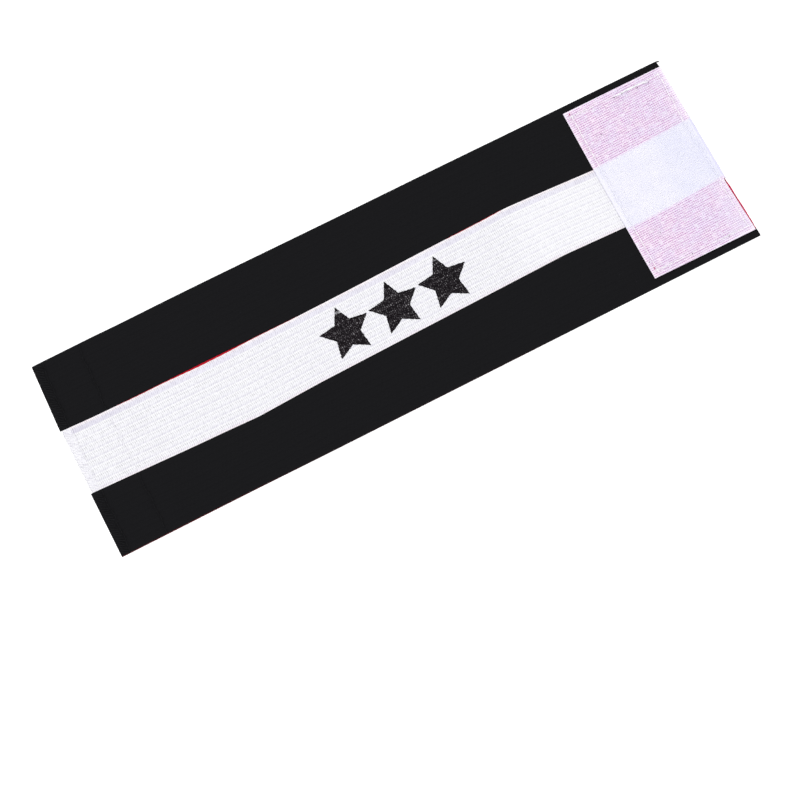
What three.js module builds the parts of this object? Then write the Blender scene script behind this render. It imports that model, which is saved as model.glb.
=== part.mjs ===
// A captain's armband, opened out and lying flat with its face up.
// A ribbed elastic band in three stripes carries a patch of hook tape on its face at the right end,
// and a patch of loop tape under its left end. Millimetres, +X along the band, +Z up, floor at Z = 0.
import * as THREE from "three";

// The band
const bandLength = 305;
const leftEndWidth = 90.6;
const rightEndWidth = 87.3;
const leftEndSlantDeg = 0.9;
const rightEndSlantDeg = 4.4;
const elasticThickness = 1.4;

// The white stripe in its middle, and the knitted join beside it
const centreStripeWidth = 30;
const stripeJoin = 0.3;

// The ribs, which lie in pairs, with a deep valley between two pairs and a shallow one inside a pair
const ribPairPitch = 3.36;
const deepValley = 0.38;
const shallowValley = 0.2;

// The hook tape on the face. A margin is the black elastic that shows above it and below it.
const hookPatchLength = 48;
const hookPatchTopMargin = 2.4;
const hookPatchBottomMargin = 3.1;
const hookPatchEndInset = 0.6;
const hookPatchThickness = 1.1;
const hookPatchInnerSlantDeg = 2.9;
const hookSeamMargin = 2.8;

// The loop tape under the other end. The band drapes down to the floor beside it.
const loopPatchLength = 25;
const loopPatchSideMargin = 3.3;
const loopPatchEndInset = 1.2;
const loopPatchThickness = 1.6;
const loopSeamMargin = 3.7;
const drapeLength = 15;

// The seams that hold both patches, and the air between two layers
const seamGroove = 0.9;
const seamDepth = 0.35;
const layerGap = 0.3;

// Between the two tapes the outer edges curl up from the floor a little, this far at the most, each
// in its own number of waves. The band is flat again this far before the hook tape.
const edgeCurl = 1.1;
const upperWaves = 2;
const lowerWaves = 1;
const flatBeforeHooks = 10;

// How the white stripe runs from the band's left end to its right one. along: share of the length.
// sway: how far the stripe's middle lies from the band's, as a share of the stripe's width.
// spread: the stripe's width there, as a share of its own width.
const stripeRoute = [
  { along: 0.0, sway: -0.006, spread: 1.0 },
  { along: 0.16, sway: -0.042, spread: 1.02 },
  { along: 0.25, sway: -0.058, spread: 1.035 },
  { along: 0.32, sway: -0.044, spread: 1.025 },
  { along: 0.43, sway: -0.023, spread: 1.005 },
  { along: 0.51, sway: -0.007, spread: 1.0 },
  { along: 0.59, sway: 0.009, spread: 1.0 },
  { along: 0.7, sway: 0.031, spread: 1.0 },
  { along: 0.76, sway: 0.021, spread: 0.975 },
  { along: 0.84, sway: -0.014, spread: 0.955 },
  { along: 1.0, sway: -0.027, spread: 0.94 },
];

// One pair of ribs. across: share of the pair's pitch. dip: share of the deep valley's depth.
const ribPair = [
  { across: 0.0, dip: 1 },
  { across: 0.13, dip: 0 },
  { across: 0.37, dip: 0 },
  { across: 0.5, dip: shallowValley / deepValley },
  { across: 0.63, dip: 0 },
  { across: 0.87, dip: 0 },
];

// Where the underside of a stripe, and the stretch that drapes off the loop tape, have their lines
const undersideShares = [0, 0.25, 0.5, 0.75, 1];
const drapeShares = [0, 0.3, 0.7, 1];

const { lerp, smoothstep, clamp } = THREE.MathUtils;
const tan = (degrees) => Math.tan(THREE.MathUtils.degToRad(degrees));
const leftSlant = tan(leftEndSlantDeg);
const rightSlant = tan(rightEndSlantDeg);
const loopPatchEnd = loopPatchEndInset + loopPatchLength;
const hookPatchStart = bandLength - hookPatchEndInset - hookPatchLength;
const hookPatchWidth = rightEndWidth - hookPatchTopMargin - hookPatchBottomMargin;
const loopPatchWidth = leftEndWidth - 2 * loopPatchSideMargin;

// The stretch that lies free on the floor, in millimetres from the left end.
const freeStart = loopPatchEnd + drapeLength;
const freeEnd = hookPatchStart - flatBeforeHooks;

// Half of what the slanted ends add to the outline, so that X = 0 is the outline's middle.
const centring = (leftSlant * leftEndWidth - rightSlant * rightEndWidth) / 4;

// Where the seams of the loop tape cross the band, measured from the left end.
const bandSeams = [loopPatchEndInset + loopSeamMargin, loopPatchEnd - loopSeamMargin];

const bandWidth = (along) => lerp(leftEndWidth, rightEndWidth, along);

// How far a line across the band leans along X for each millimetre of Y.
function slant(along) {
  return along < 0.5 ? lerp(leftSlant, 0, 2 * along) : lerp(0, -rightSlant, 2 * along - 1);
}

// X on the line across the band that meets its middle at that share of the length.
const crossX = (along, y) => (along - 0.5) * bandLength + centring + slant(along) * y;

// A column of the stripe's route, read at a share of the length.
function routeValue(column, along) {
  const next = Math.max(1, stripeRoute.findIndex((row) => row.along >= along));
  const before = stripeRoute[next - 1];
  const after = stripeRoute[next];
  return lerp(before[column], after[column], (along - before.along) / (after.along - before.along));
}

// Y of the white stripe's edge: side is 1 for the upper one and -1 for the lower.
function stripeEdge(along, side) {
  const middle = routeValue("sway", along) * centreStripeWidth;
  return middle + (side * routeValue("spread", along) * centreStripeWidth) / 2;
}

// How far a point has curled up, as a share of the edge curl: nothing on the white stripe,
// and more and more towards the outer edges.
function curlShare(along, y) {
  const side = y < 0 ? -1 : 1;
  const inner = stripeEdge(along, side);
  const outward = clamp((y - inner) / ((side * bandWidth(along)) / 2 - inner), 0, 1);
  const freeShare = clamp((along * bandLength - freeStart) / (freeEnd - freeStart), 0, 1);
  const waves = side > 0 ? upperWaves : lowerWaves;
  return Math.sin(waves * Math.PI * freeShare) ** 2 * outward ** 2;
}

// The band's underside lies on the loop tape, and comes down to the floor beside it.
function underside(along, y) {
  const draped = smoothstep(along * bandLength, loopPatchEnd, freeStart);
  return (1 - draped) * (loopPatchThickness + layerGap) + edgeCurl * curlShare(along, y);
}

// The shares of the length at which the band has a section.
function bandStations() {
  const sewn = bandSeams.flatMap((seam) => [seam - seamGroove, seam, seam + seamGroove]);
  const drape = drapeShares.map((share) => loopPatchEnd + share * drapeLength);
  const turns = stripeRoute.map((row) => row.along * bandLength);
  const free = turns.filter((x) => x > freeStart + seamGroove && x < freeEnd - seamGroove);
  return [0, ...sewn, ...drape, ...free, freeEnd, bandLength].map((x) => x / bandLength);
}

// A closed solid through a row of loops that have as many points each.
// The first loop faces -X, and the loops run anticlockwise as seen from +X.
function loft(loops) {
  const count = loops[0].length;
  const faces = [];
  for (let i = 0; i < loops.length - 1; i++) {
    for (let j = 0; j < count; j++) {
      const k = (j + 1) % count;
      const near = i * count;
      const far = near + count;
      faces.push(near + j, near + k, far + k, near + j, far + k, far + j);
    }
  }
  const outline = (loop) => loop.map((point) => new THREE.Vector2(point.y, point.z));
  const last = (loops.length - 1) * count;
  for (const [a, b, c] of THREE.ShapeUtils.triangulateShape(outline(loops[0]), [])) {
    faces.push(a, c, b);
  }
  for (const [a, b, c] of THREE.ShapeUtils.triangulateShape(outline(loops.at(-1)), [])) {
    faces.push(last + a, last + b, last + c);
  }
  const geometry = new THREE.BufferGeometry().setFromPoints(loops.flat());
  geometry.setIndex(faces);
  geometry.computeVertexNormals();
  return geometry;
}

// The rib profile from one edge of a stripe to the other: shares of its width, and dips in millimetres.
function ribProfile(width) {
  const pairs = Math.max(1, Math.round(width / ribPairPitch));
  const profile = [];
  for (let pair = 0; pair < pairs; pair++) {
    for (const { across, dip } of ribPair) {
      profile.push({ share: (pair + across) / pairs, dip: dip * deepValley });
    }
  }
  profile.push({ share: 1, dip: deepValley });
  return profile;
}

// One stripe of ribbed elastic between two edges, each a function of the share of the length.
function elasticStripe(lowEdge, highEdge) {
  const profile = ribProfile(highEdge(0) - lowEdge(0));
  const loops = bandStations().map((along) => {
    const onSeam = bandSeams.some((seam) => Math.abs(seam - along * bandLength) < seamGroove / 2);
    const at = (share, rise) => {
      const y = lerp(lowEdge(along), highEdge(along), share);
      return new THREE.Vector3(crossX(along, y), y, underside(along, y) + rise);
    };
    const under = undersideShares.map((share) => at(share, 0));
    const ribs = profile.map(({ share, dip }) => {
      return at(share, elasticThickness - (onSeam ? Math.max(dip, seamDepth) : dip));
    });
    return [...under, ...ribs.reverse()];
  });
  return loft(loops);
}

// A patch of sewn tape whose stitched groove runs round inside the edge of one face.
// place(share along, share across) gives X and Y. sewn and plain are the heights of its two faces.
function sewnTape({ length, width, margin, place, sewn, plain }) {
  const lines = (size) => {
    const groove = [margin - seamGroove, margin, margin + seamGroove].map((inset) => inset / size);
    return [0, ...groove, ...groove.map((share) => 1 - share).reverse(), 1];
  };
  const [seamStart, seamEnd] = [2, 5];
  const onLine = (index) => index === seamStart || index === seamEnd;
  const within = (index) => index >= seamStart && index <= seamEnd;
  const inwards = Math.sign(plain - sewn) * seamDepth;
  const loops = lines(length).map((alongShare, i) => {
    const point = (acrossShare, z) => {
      const { x, y } = place(alongShare, acrossShare);
      return new THREE.Vector3(x, y, z);
    };
    const face = lines(width).map((acrossShare, j) => {
      const grooved = (onLine(i) && within(j)) || (onLine(j) && within(i));
      return point(acrossShare, grooved ? sewn + inwards : sewn);
    });
    const back = [point(0, plain), point(1, plain)];
    return sewn > plain ? [...back, ...face.reverse()] : [...face, ...back.reverse()];
  });
  return loft(loops);
}

// The hook tape lies on the ribs at the right end, along the slanted end of the band.
function hookTape() {
  const low = hookPatchBottomMargin - rightEndWidth / 2;
  const endX = crossX(1, 0) - hookPatchEndInset;
  const innerSlant = tan(hookPatchInnerSlantDeg);
  const plain = elasticThickness + layerGap;
  return sewnTape({
    length: hookPatchLength,
    width: hookPatchWidth,
    margin: hookSeamMargin,
    plain,
    sewn: plain + hookPatchThickness,
    place: (alongShare, acrossShare) => {
      const y = low + acrossShare * hookPatchWidth;
      const inner = endX - hookPatchLength - innerSlant * y;
      return { x: lerp(inner, endX - rightSlant * y, alongShare), y };
    },
  });
}

// The loop tape lies on the floor under the left end, with its loops down.
function loopTape() {
  return sewnTape({
    length: loopPatchLength,
    width: loopPatchWidth,
    margin: loopSeamMargin,
    plain: loopPatchThickness,
    sewn: 0,
    place: (alongShare, acrossShare) => {
      const y = (acrossShare - 0.5) * loopPatchWidth;
      const x = crossX(0, y) + loopPatchEndInset + alongShare * loopPatchLength;
      return { x, y };
    },
  });
}

function part(name, geometry, color, roughness) {
  const material = new THREE.MeshStandardMaterial({ color, roughness, metalness: 0 });
  const mesh = new THREE.Mesh(geometry, material);
  mesh.name = name;
  return mesh;
}

const outerEdge = (side) => (along) => (side * bandWidth(along)) / 2;
const whiteEdge = (side, beyond) => (along) => stripeEdge(along, side) + side * beyond;

const blackElastic = 0x1b1b1d;
const whiteElastic = 0xf3f2f6;
const hookNylon = 0xeddaf2;
const loopNylon = 0xf1f1f4;

const armband = new THREE.Group();
armband.add(
  part("upper_stripe", elasticStripe(whiteEdge(1, stripeJoin), outerEdge(1)), blackElastic, 0.9),
  part("centre_stripe", elasticStripe(whiteEdge(-1, 0), whiteEdge(1, 0)), whiteElastic, 0.85),
  part("lower_stripe", elasticStripe(outerEdge(-1), whiteEdge(-1, stripeJoin)), blackElastic, 0.9),
  part("hook_patch", hookTape(), hookNylon, 0.5),
  part("loop_patch", loopTape(), loopNylon, 0.95),
);

export default armband;
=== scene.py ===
"""An armband, laid open on a pale floor with its printed face up.

A ribbed elastic band in three stripes, black, white and black, carries a patch of hook tape on
its face at one end and a patch of loop tape under the other. Band sizes are in millimetres, and
a point of the band is given by its distance from the left end and its height across the band.
"""

from __future__ import annotations

import logging
import math
from abc import ABC, abstractmethod
from dataclasses import dataclass, field
from enum import Enum
from functools import cached_property
from typing import Sequence

import bpy
import numpy as np
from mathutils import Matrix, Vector
from mathutils.geometry import delaunay_2d_cdt

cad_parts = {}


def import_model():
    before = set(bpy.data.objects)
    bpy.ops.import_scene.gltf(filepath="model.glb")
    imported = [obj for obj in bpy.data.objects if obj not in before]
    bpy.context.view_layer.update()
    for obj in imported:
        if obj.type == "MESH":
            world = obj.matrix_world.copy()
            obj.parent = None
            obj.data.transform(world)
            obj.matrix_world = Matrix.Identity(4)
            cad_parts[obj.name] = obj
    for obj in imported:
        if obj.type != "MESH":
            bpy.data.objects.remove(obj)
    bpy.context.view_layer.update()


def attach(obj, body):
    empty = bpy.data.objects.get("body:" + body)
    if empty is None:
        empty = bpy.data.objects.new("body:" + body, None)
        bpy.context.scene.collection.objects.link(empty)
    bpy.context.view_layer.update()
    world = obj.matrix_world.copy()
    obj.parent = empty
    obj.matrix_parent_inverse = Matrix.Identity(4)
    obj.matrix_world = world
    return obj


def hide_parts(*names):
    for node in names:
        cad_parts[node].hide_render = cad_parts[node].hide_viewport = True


LOG = logging.getLogger("armband")
MM = 0.001
BODY = "root"
WEAVE = "weave"

Colour = tuple[float, float, float, float]
Mesh = tuple[np.ndarray, list[tuple[int, ...]]]
Number = float | int


def srgb(red: Number, green: Number, blue: Number) -> Colour:
    """Turns a colour as a screen shows it into the linear one that shaders use.

    Args:
        red: Red, from 0 to 255.
        green: Green, from 0 to 255.
        blue: Blue, from 0 to 255.

    Returns:
        The linear colour, with an alpha of 1.
    """

    def linear(value: Number) -> float:
        """One channel of it."""
        share = value / 255
        return share / 12.92 if share <= 0.04045 else ((share + 0.055) / 1.055) ** 2.4

    return linear(red), linear(green), linear(blue), 1.0


class Slot(Enum):
    """The material slots that the part's record names."""

    BLACK_ELASTIC = "black_elastic"
    WHITE_ELASTIC = "white_elastic"
    HOOK_TAPE = "hook_tape"
    LOOP_TAPE = "loop_tape"


class Stripe(Enum):
    """The three stripes of the band, each with the node of the frame that it stands for."""

    UPPER = "upper_stripe"
    CENTRE = "centre_stripe"
    LOWER = "lower_stripe"


class Strand(Enum):
    """What stands on a tape: hooks that end in the air, or loops that come back down to it."""

    HOOK = "hook"
    LOOP = "loop"


# Nodes


class Field:
    """A socket whose value can be used in sums, in a shader or in a geometry tree."""

    def __init__(self, desk: Desk, socket: bpy.types.NodeSocket) -> None:
        """Keeps the socket.

        Args:
            desk: The desk that the socket's node belongs to.
            socket: The socket that gives the value.
        """
        self.desk = desk
        self.socket = socket

    def __add__(self, other: Field | Number) -> Field:
        """The sum."""
        return self.desk.math("ADD", self, other)

    def __radd__(self, other: Field | Number) -> Field:
        """The sum, with the number first."""
        return self.desk.math("ADD", other, self)

    def __sub__(self, other: Field | Number) -> Field:
        """The difference."""
        return self.desk.math("SUBTRACT", self, other)

    def __rsub__(self, other: Field | Number) -> Field:
        """The difference, with the number first."""
        return self.desk.math("SUBTRACT", other, self)

    def __mul__(self, other: Field | Number) -> Field:
        """The product."""
        return self.desk.math("MULTIPLY", self, other)

    def __rmul__(self, other: Field | Number) -> Field:
        """The product, with the number first."""
        return self.desk.math("MULTIPLY", other, self)

    def __truediv__(self, other: Field | Number) -> Field:
        """The quotient."""
        return self.desk.math("DIVIDE", self, other)

    def __neg__(self) -> Field:
        """The value with its sign turned round."""
        return self.desk.math("MULTIPLY", self, -1)

    def __abs__(self) -> Field:
        """The value without its sign."""
        return self.desk.math("ABSOLUTE", self)


class Desk:
    """Adds nodes to one tree, lays them out in a row, and turns their outputs into fields."""

    def __init__(self, tree: bpy.types.NodeTree) -> None:
        """Keeps the tree.

        Args:
            tree: The tree that every node goes into.
        """
        self.tree = tree
        self.count = 0

    @staticmethod
    def find(sockets: Sequence[bpy.types.NodeSocket], key: str | int) -> bpy.types.NodeSocket:
        """Finds a socket.

        Args:
            sockets: A node's inputs or its outputs.
            key: The socket's place, its identifier or its name.

        Returns:
            The socket that the key names, by identifier first.
        """
        if isinstance(key, int):
            return sockets[key]
        named = [s for s in sockets if s.identifier == key] or [
            s for s in sockets if s.name == key and s.enabled
        ]
        return named[0]

    def node(
        self, kind: str, settings: dict | None = None, values: dict | None = None
    ) -> bpy.types.Node:
        """Adds a node.

        Args:
            kind: The node's type.
            settings: Its properties, which are set first. The stops of a ramp are one of them.
            values: A value or a field for each input that gets one.

        Returns:
            The node.
        """
        made = self.tree.nodes.new(kind)
        made.location = (200 * (self.count % 12), -260 * (self.count // 12))
        self.count += 1
        for name, value in (settings or {}).items():
            setattr(made, name, value)
        for key, value in (values or {}).items():
            self.feed(self.find(made.inputs, key), value)
        return made

    def feed(self, socket: bpy.types.NodeSocket, value: object) -> None:
        """Links a field to an input, or sets the input's own value.

        Args:
            socket: The input.
            value: The field, or what the input should hold.
        """
        if isinstance(value, Field):
            self.tree.links.new(value.socket, socket)
        else:
            socket.default_value = value

    def out(self, node: bpy.types.Node, key: str | int = 0) -> Field:
        """One output of a node, as a field."""
        return Field(self, self.find(node.outputs, key))

    def math(self, operation: str, *values: Field | Number) -> Field:
        """One operation on numbers.

        Args:
            operation: What the Math node does.
            *values: Its one, two or three values, in their order.

        Returns:
            The result.
        """
        inputs = dict(enumerate(values))
        return self.out(self.node("ShaderNodeMath", {"operation": operation}, inputs))

    def clamp(self, value: Field) -> Field:
        """The value, held between 0 and 1."""
        return self.math("MINIMUM", self.math("MAXIMUM", value, 0), 1)

    def fraction(self, value: Field) -> Field:
        """What is left of the value without its whole number."""
        return self.math("FRACT", value)

    def wave(self, value: Field) -> Field:
        """A cosine between 0 and 1 that is 1 at every whole number."""
        return 0.5 + 0.5 * self.math("COSINE", value * math.tau)

    def near_whole(self, value: Field, reach: float) -> Field:
        """A mask that is 1 at every whole number and falls to 0 within its reach of it."""
        distance = abs(self.fraction(value + 0.5) - 0.5)
        return self.smooth(1 - distance / reach)

    def near(self, value: Field, centre: float, reach: float) -> Field:
        """A mask that is 1 at the centre and falls to 0 within its reach of it."""
        return self.smooth(1 - abs(value - centre) / reach)

    def above(self, value: Field, edge: Field | float, soft: float) -> Field:
        """A mask that rises from 0 to 1 as the value passes the edge, over a soft width."""
        return self.smooth((value - edge) / soft + 0.5)

    def smooth(self, value: Field) -> Field:
        """The value held between 0 and 1, with soft ends."""
        held = self.clamp(value)
        return held * held * (3 - 2 * held)

    def split(self, vector: Field) -> tuple[Field, Field, Field]:
        """The three numbers of a vector."""
        node = self.node("ShaderNodeSeparateXYZ", values={0: vector})
        return self.out(node, 0), self.out(node, 1), self.out(node, 2)

    def join(self, x: Field | Number, y: Field | Number, z: Field | Number) -> Field:
        """The vector of three numbers."""
        return self.out(self.node("ShaderNodeCombineXYZ", values={0: x, 1: y, 2: z}))


class ShaderDesk(Desk):
    """A desk whose tree is a material's, with the nodes that finishes use."""

    def __init__(self, name: str) -> None:
        """Makes the material and empties its tree.

        Args:
            name: The material's name.
        """
        self.material = bpy.data.materials.new(name)
        self.material.use_nodes = True
        self.material.node_tree.nodes.clear()
        super().__init__(self.material.node_tree)

    @cached_property
    def place(self) -> Field:
        """The point in the part's own frame, in metres."""
        return self.out(self.node("ShaderNodeTexCoord"), "Object")

    @cached_property
    def weave(self) -> Field:
        """The point in the cloth's own measures, which the mesh carries."""
        node = self.node("ShaderNodeAttribute", {"attribute_name": WEAVE})
        return self.out(node, "Vector")

    def noise(self, pitch: float, detail: float = 2, at: Field | None = None) -> Field:
        """Even noise between 0 and 1.

        Args:
            pitch: The size of its patches, in the units of the place that it is read at.
            detail: How many finer layers it has.
            at: Where it is read, or nothing for the part's own frame.

        Returns:
            The noise.
        """
        values = {"Vector": at or self.place, "Scale": 1 / pitch, "Detail": detail}
        return self.out(self.node("ShaderNodeTexNoise", values=values), 0)

    def mix(self, share: Field | Number, low: Field | Colour, high: Field | Colour) -> Field:
        """Mixes two colours.

        Args:
            share: How much there is of the second one, from 0 to 1.
            low: The first colour.
            high: The second colour.

        Returns:
            The mixed colour.
        """
        values = {"Factor_Float": share, "A_Color": low, "B_Color": high}
        node = self.node("ShaderNodeMix", {"data_type": "RGBA", "clamp_factor": True}, values)
        return self.out(node, "Result_Color")

    def finish(
        self,
        colour: Field | Colour,
        roughness: Field | float,
        height: Field | None = None,
        depth: float = 0.0,
        constants: dict[str, float] | None = None,
    ) -> bpy.types.Material:
        """Ends the tree in one principled shader.

        Args:
            colour: The base colour.
            roughness: The roughness.
            height: The relief that is too fine for the mesh, from 0 to 1.
            depth: How deep that relief is, in metres.
            constants: Values for inputs that are the same all over.

        Returns:
            The material.
        """
        values: dict[str, object] = {"Base Color": colour, "Roughness": roughness}
        if height is not None:
            bump = self.node("ShaderNodeBump", values={"Height": height, "Distance": depth})
            values["Normal"] = self.out(bump)
        shader = self.node("ShaderNodeBsdfPrincipled", values={**values, **(constants or {})})
        self.node("ShaderNodeOutputMaterial", values={"Surface": self.out(shader)})
        return self.material


# The form of the band


@dataclass(frozen=True)
class RouteRow:
    """One row of the white stripe's route.

    along is a share of the band's length. sway is how far the stripe's middle lies from the
    band's, and spread is the stripe's width there, both as shares of the stripe's width.
    """

    along: float
    sway: float
    spread: float


@dataclass(frozen=True)
class BandForm:
    """The band's sizes in millimetres, and the surfaces that follow from them."""

    length: float = 305.0
    left_width: float = 91.05
    inner_width: float = 90.4
    inner_share: float = 0.3
    right_width: float = 87.7
    left_slant_deg: float = 0.9
    left_corner_deg: float = 2.5
    left_corner_from: float = 12.4
    right_slant_deg: float = 4.4
    thickness: float = 1.4
    white_width: float = 30.0
    stripe_gap: float = 0.04
    pair_pitch: float = 3.36
    deep_valley: float = 0.2
    shallow_valley: float = 0.13
    valley_reach: float = 0.15
    black_valleys: float = 1.6
    white_phase: float = 0.28
    loop_tape_end: float = 26.2
    drape: float = 15.0
    lift: float = 1.9
    curl: float = 1.1
    upper_waves: int = 2
    lower_waves: int = 1
    flat_from: float = 246.4
    turn_radius: float = 1.6
    bow_at: tuple[float, ...] = (0.0, 30.0, 66.0, 105.0)
    bow: tuple[float, ...] = (-0.22, -0.06, 0.08, 0.0)
    drawn_at: tuple[float, ...] = (-41.2, -39.4, -16.8)
    drawn: tuple[float, ...] = (-0.2, 0.15, 0.75)
    upper_drawn_at: tuple[float, ...] = (40.4, 43.8)
    upper_drawn: tuple[float, ...] = (0.05, 0.4)
    route: tuple[RouteRow, ...] = (
        RouteRow(0.0, -0.0063, 0.9938),
        RouteRow(0.05, -0.0244, 0.9905),
        RouteRow(0.11, -0.0373, 0.9998),
        RouteRow(0.16, -0.045, 1.0181),
        RouteRow(0.21, -0.0544, 1.0212),
        RouteRow(0.262, -0.0625, 1.0387),
        RouteRow(0.31, -0.0485, 1.024),
        RouteRow(0.36, -0.039, 0.9995),
        RouteRow(0.43, -0.0265, 0.9941),
        RouteRow(0.51, -0.0092, 0.9925),
        RouteRow(0.59, 0.0075, 0.9934),
        RouteRow(0.67, 0.0223, 0.9881),
        RouteRow(0.705, 0.0331, 0.9948),
        RouteRow(0.75, 0.0272, 0.9618),
        RouteRow(0.84, -0.0141, 0.9421),
        RouteRow(1.0, -0.0268, 0.94),
    )

    @property
    def pairs(self) -> int:
        """How many pairs of ribs the white stripe has."""
        return round(self.white_width / self.pair_pitch)

    @property
    def centring(self) -> float:
        """How far the band is moved so that its outline's middle lies at X = 0."""
        left = math.tan(math.radians(self.left_slant_deg)) * self.left_width
        right = math.tan(math.radians(self.right_slant_deg)) * self.right_width
        return (left - right) / 4

    @cached_property
    def _rounded_route(self) -> tuple[np.ndarray, np.ndarray, np.ndarray]:
        """The route's turns made round: distances from the left end, sways and spreads."""
        step = 0.5
        x = np.arange(0, self.length + step, step)
        reach = np.arange(-3 * self.turn_radius, 3 * self.turn_radius + step, step)
        weight = np.exp(-0.5 * (reach / self.turn_radius) ** 2)
        weight /= weight.sum()
        along = np.array([row.along for row in self.route]) * self.length
        columns = []
        for column in ("sway", "spread"):
            value = np.interp(x, along, [getattr(row, column) for row in self.route])
            padded = np.pad(value, len(reach) // 2, mode="edge")
            columns.append(np.convolve(padded, weight, mode="valid"))
        return x, columns[0], columns[1]

    def width(self, x: np.ndarray) -> np.ndarray:
        """The band's width at distances from its left end."""
        widths = (self.left_width, self.inner_width, self.right_width)
        return np.interp(x / self.length, (0.0, self.inner_share, 1.0), widths)

    def white_edge(self, x: np.ndarray, side: int) -> np.ndarray:
        """The height of the white stripe's edge: side is 1 for the upper one, -1 for the lower."""
        at, sway, spread = self._rounded_route
        middle = np.interp(x, at, sway) * self.white_width
        return middle + side * np.interp(x, at, spread) * self.white_width / 2

    def edges(self, stripe: Stripe, x: np.ndarray) -> tuple[np.ndarray, np.ndarray]:
        """The lower and the upper edge of a stripe.

        Args:
            stripe: Which stripe.
            x: Distances from the left end.

        Returns:
            The heights of both edges at those distances.
        """
        low, high = self.white_edge(x, -1), self.white_edge(x, 1)
        if stripe is Stripe.CENTRE:
            return low, high
        bow = np.interp(x, self.bow_at, self.bow)
        if stripe is Stripe.UPPER:
            return high + self.stripe_gap, self.width(x) / 2 + bow
        return bow - self.width(x) / 2, low - self.stripe_gap

    def upper_drawn_back(self, y: np.ndarray) -> np.ndarray:
        """How far the upper stripe's right end is drawn back at heights across the band."""
        return np.interp(y, self.upper_drawn_at, self.upper_drawn)

    def drawn_back(self, y: np.ndarray) -> np.ndarray:
        """How far the lower stripe's right end is drawn back at heights across the band."""
        return np.interp(y, self.drawn_at, self.drawn)

    def place(self, x: np.ndarray, y: np.ndarray, z: np.ndarray) -> np.ndarray:
        """Points of the band in the part's frame.

        Args:
            x: Distances from the left end, along the band's middle.
            y: Heights across the band.
            z: Heights above the floor.

        Returns:
            The points in metres, with the lean of the two ends worked in.
        """
        x, y, z = np.broadcast_arrays(*(np.asarray(v, float) for v in (x, y, z)))
        left = self.left_lean(y) * np.clip(1 - 2 * x / self.length, 0, 1)
        right = self.right_lean(y) * np.clip(2 * x / self.length - 1, 0, 1)
        leaned = x - self.length / 2 + self.centring + left + right
        return np.stack([leaned, y, z], axis=-1) * MM

    def left_lean(self, y: np.ndarray) -> np.ndarray:
        """How far the left end lies to the right of its middle, at heights across the band."""
        lowest = math.tan(math.radians(self.left_slant_deg)) * self.left_width / 2
        cut = math.tan(math.radians(self.left_corner_deg))
        return cut * np.maximum(y - self.left_corner_from, 0.0) - lowest

    def right_lean(self, y: np.ndarray) -> np.ndarray:
        """How far the right end lies to the right of its middle, at heights across the band."""
        return -math.tan(math.radians(self.right_slant_deg)) * np.asarray(y)

    def underside(self, x: np.ndarray, y: np.ndarray) -> np.ndarray:
        """How high the band's lower face lies: on the loop tape, on the floor, or curled up."""
        share = np.clip((x - self.loop_tape_end) / self.drape, 0, 1)
        draped = share * share * (3 - 2 * share)
        free_start = self.loop_tape_end + self.drape
        free = np.clip((x - free_start) / (self.flat_from - free_start), 0, 1)
        side = np.where(y < 0, -1, 1)
        inner = np.where(y < 0, self.white_edge(x, -1), self.white_edge(x, 1))
        outward = np.clip((y - inner) / (side * self.width(x) / 2 - inner), 0, 1)
        waves = np.where(y < 0, self.lower_waves, self.upper_waves)
        rise = np.sin(waves * math.pi * free) ** 2 * outward**2
        return (1 - draped) * self.lift + self.curl * rise

    def valley(self, pair: np.ndarray) -> np.ndarray:
        """How deep the ribs dip: most between two pairs, and less inside a pair.

        Args:
            pair: Places across the band, in pairs of ribs.

        Returns:
            The depths in millimetres.
        """
        deep = np.abs(pair - np.round(pair)) / self.valley_reach
        shallow = np.abs(pair - np.floor(pair) - 0.5) / self.valley_reach
        return self.deep_valley * np.exp(-(deep**2)) + self.shallow_valley * np.exp(-(shallow**2))

    def white_pair(self, x: np.ndarray, y: np.ndarray) -> np.ndarray:
        """Where points lie across the white stripe, in pairs of ribs from its lower edge."""
        low, high = self.edges(Stripe.CENTRE, x)
        return (y - low) / (high - low) * self.pairs

    def white_top(self, x: np.ndarray, y: np.ndarray) -> np.ndarray:
        """The height of the white stripe's ribbed face above the floor."""
        pair = self.white_pair(x, y) + self.white_phase
        return self.underside(x, y) + self.thickness - self.valley(pair)


@dataclass(frozen=True)
class Seams:
    """Where the band is sewn to the loop tape, in millimetres from the left end."""

    first: float = 4.9
    second: float = 22.5
    groove: float = 0.5
    depth: float = 0.05

    @staticmethod
    def sway(y: np.ndarray) -> np.ndarray:
        """How far a seam strays from a straight line across the band."""
        return 0.3 * np.sin(y * 0.62) + 0.18 * np.sin(y * 1.9 + 1.0)

    def pinch(self, x: np.ndarray, y: np.ndarray) -> np.ndarray:
        """How far the thread pulls the band's face down."""
        at = x - self.sway(y)
        near = [np.exp(-(((at - seam) / self.groove) ** 2)) for seam in (self.first, self.second)]
        return self.depth * np.maximum(*near)


# Meshes


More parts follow.
